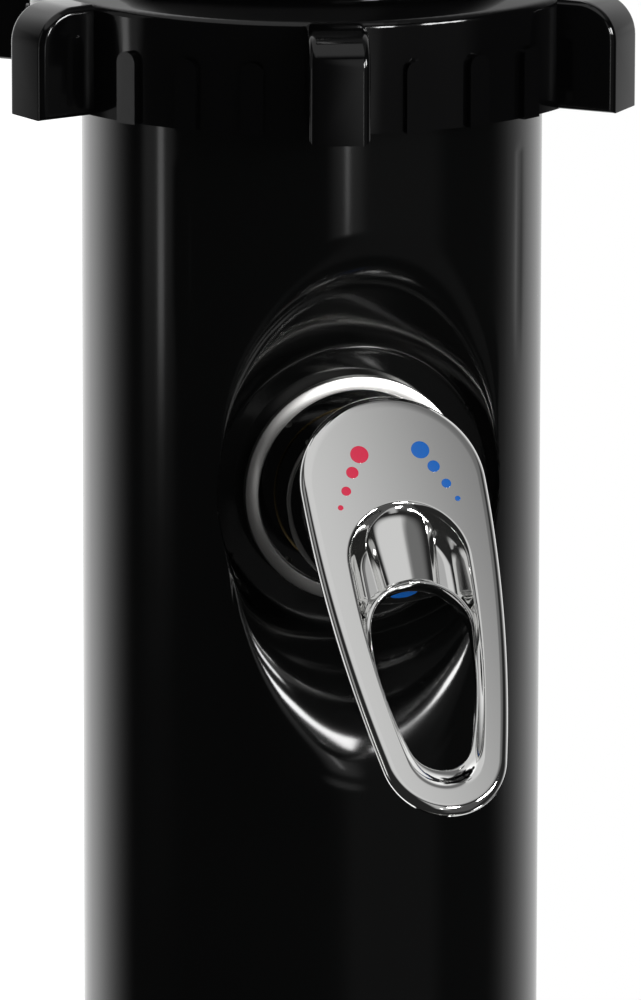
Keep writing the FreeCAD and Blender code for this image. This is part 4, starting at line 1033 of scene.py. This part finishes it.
def build_handle():
    """The loop's closed surface: its front, its rounded edge, its back and the slot's wall."""
    t = loop_columns()
    outer, outer_away = loop_points(t, HEAD)
    inner, inner_away = loop_points(t, SLOT)
    rows = front_rows(outer, outer_away, inner, inner_away)
    lip, rim = rows[0][:, 2], rows[-1][:, 2]
    for s, c in quarter_round(EDGE_POINTS)[1:]:
        rows.append(flat_row(outer, outer_away, FRONT_ROUND * s, rim - FRONT_ROUND * c))
    for s, c in quarter_round(EDGE_POINTS):
        rows.append(flat_row(outer, outer_away, BACK_ROUND * c, BACK_ROUND * s - SLAB))
    for s, c in quarter_round(SLOT_BACK_POINTS):
        rows.append(flat_row(inner, -inner_away, SLOT_BACK * s, SLOT_BACK * c - SLAB))
    for s, c in quarter_round(SLOT_EDGE_POINTS)[:-1]:
        rows.append(flat_row(inner, -inner_away, SLOT_EDGE * c, lip - SLOT_EDGE * s))
    rings = [on_handle(row) for row in rows]
    name, slot_name = "handle_loop", "chrome"
    return add_grids(name, [rings], "lever", slot_name, wrap_rows=True, sharp=HANDLE_SHARP)


handle = build_handle()
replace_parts(handle, "handle")
print("handle", len(handle.data.polygons), "faces")

# %% [markdown]
# ## Hub of the handle
# Behind the face the casting widens to a round hub that swallows the bonnet's dome. It
# could be joined to the slab with a Boolean, but its front edge can simply end inside
# the slab. Its radius is the smaller of the hub's own and the distance to the flat cut
# underneath, so the cut's edge comes out rounded.

# %% Hub of the handle
HUB_RADIUS = 30.0
HUB_REAR = 79.0
HUB_ROUND = 1.5
HUB_CUT = -16.0
HUB_CUT_BLEND = 1.6
HUB_FRONT = -4.5
HUB_FLOOR = -8.3
HUB_BESIDE = (0.5, 4.0)
HUB_ROWS = 40
HUB_EDGE_POINTS = 6
HOLLOW_ROWS = 16
CAP_SHARE = 0.93
HOLLOW_RADIUS = 28.8
HOLLOW_END = 0.01
PIVOT_DEPTH = 70.0
DEEPEST = 135.0
HALVINGS = 40
LEAST_DOWN = -1e-3
NO_CUT = 1e3
FACE_DEPTH = FACE_OFFSET / MM


def hub_radius(turn, depth):
    """Radius at a turn from straight up and a depth: the hub's own, or less where the
    flat cut comes nearer."""
    out = depth - FACE_DEPTH
    reach = (HUB_CUT + out * math.sin(FACE_TILT)) / math.cos(FACE_TILT)
    facing = np.minimum(np.cos(turn), LEAST_DOWN)
    cut = np.where(np.cos(turn) < LEAST_DOWN, reach / facing, NO_CUT)
    return smooth_min(np.full_like(cut, HUB_RADIUS), cut, HUB_CUT_BLEND)


def hub_point(turn, depth, radius):
    """A point of the hub in the handle's own frame: a circle round the mixer's axis,
    tilted back by the face's lean."""
    out = depth - FACE_DEPTH
    up = radius * np.cos(turn)
    y = up * math.cos(FACE_TILT) - out * math.sin(FACE_TILT)
    z = up * math.sin(FACE_TILT) + out * math.cos(FACE_TILT)
    return np.stack([radius * np.sin(turn), y, z], -1)


def hub_front_depth(turn, level):
    """Depth at which the hub's side reaches a level inside the slab, by halving."""
    low, high = np.full_like(turn, HUB_REAR), np.full_like(turn, DEEPEST)
    for _ in range(HALVINGS):
        middle = (low + high) / 2
        height = hub_point(turn, middle, hub_radius(turn, middle))[:, 2]
        low = np.where(height < level, middle, low)
        high = np.where(height < level, high, middle)
    return low


def hub_front(turn):
    """Depth of the hub's front edge: inside the slab at the sides, and under the floor of
    the recess where it passes below."""
    lowest = hub_front_depth(turn, np.full_like(turn, HUB_FLOOR))
    x, y, _ = hub_point(turn, lowest, hub_radius(turn, lowest)).T
    beside = smooth_step(loop_distance(x, y, OPENING), *HUB_BESIDE)
    return hub_front_depth(turn, HUB_FLOOR + (HUB_FRONT - HUB_FLOOR) * beside)


def build_hub():
    """The hub's side from the slab to its rear edge, and the hollow for the bonnet, which
    is part of a sphere round the pivot."""
    turn = np.linspace(0.0, FULL_TURN, 2 * AXIS_COLUMNS, endpoint=False)
    front = hub_front(turn)
    edge = hub_point(turn, front, hub_radius(turn, front))
    middle = edge.mean(0)
    cap = middle + (edge - middle) * CAP_SHARE
    cap[:, 2] = HUB_FLOOR
    rows = [cap]
    for share in np.linspace(0.0, 1.0, HUB_ROWS):
        depth = front + (HUB_REAR + HUB_ROUND - front) * share
        rows.append(hub_point(turn, depth, hub_radius(turn, depth)))
    for s, c in quarter_round(HUB_EDGE_POINTS)[1:]:
        rows.append(hub_point(turn, HUB_REAR + HUB_ROUND * s, HUB_RADIUS - HUB_ROUND * c))
    first = math.asin((HUB_REAR - PIVOT_DEPTH) / HOLLOW_RADIUS)
    for a in np.linspace(first, math.pi / 2, HOLLOW_ROWS):
        radius = max(HOLLOW_RADIUS * math.cos(a), HOLLOW_END)
        rows.append(hub_point(turn, PIVOT_DEPTH + HOLLOW_RADIUS * math.sin(a), radius))
    return add_grids("handle_hub", [[on_handle(row) for row in rows]], "lever", "chrome")


hub = build_hub()
print("hub", len(hub.data.polygons), "faces")

# %% [markdown]
# ## Hot and cold dots
# Eight enamelled dots show which way is hot and which is cold. They could be painted on
# with a mask, but enamel stands a few hundredths of a millimetre proud and catches light
# at its edge, so each is a low dome set on the crowned face.

# %% Hot and cold dots
DOT_RADII = (3.1, 2.1, 1.65, 0.95)
DOT_PLACES = ((10.4, 27.0), (13.9, 20.8), (17.1, 14.4), (20.0, 8.7))
DOT_COLUMNS = 48

# share of the dot's radius, height over the face in mm
DOT_PROFILE = (
    (0.02, -0.3),
    (1.0, -0.3),
    (1.0, 0.03),
    (0.95, 0.07),
    (0.8, 0.085),
    (0.4, 0.10),
    (0.02, 0.105),
)


def dot_rows(radius, x, y):
    """A dome of enamel: circles whose radius and height follow the profile."""
    turns = np.linspace(0.0, FULL_TURN, DOT_COLUMNS, endpoint=False)
    rows = []
    for share, height in DOT_PROFILE:
        px = x + radius * share * np.cos(turns)
        py = y + radius * share * np.sin(turns)
        rows.append(on_handle(np.stack([px, py, np.full_like(px, face_crown(x, y) + height)], 1)))
    return rows


def build_dots(name, sign, slot_name):
    """The four dots of one side, the right one for a sign of 1 and the left one for -1."""
    parts = [dot_rows(radius, sign * x, y) for radius, (x, y) in zip(DOT_RADII, DOT_PLACES)]
    return add_grids(name, parts, "lever", slot_name)


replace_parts(build_dots("hot_dots_enamel", -1, "hot_enamel"), "hot_dots")
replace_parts(build_dots("cold_dots_enamel", 1, "cold_enamel"), "cold_dots")
print("dots", len(DOT_RADII) * 2)
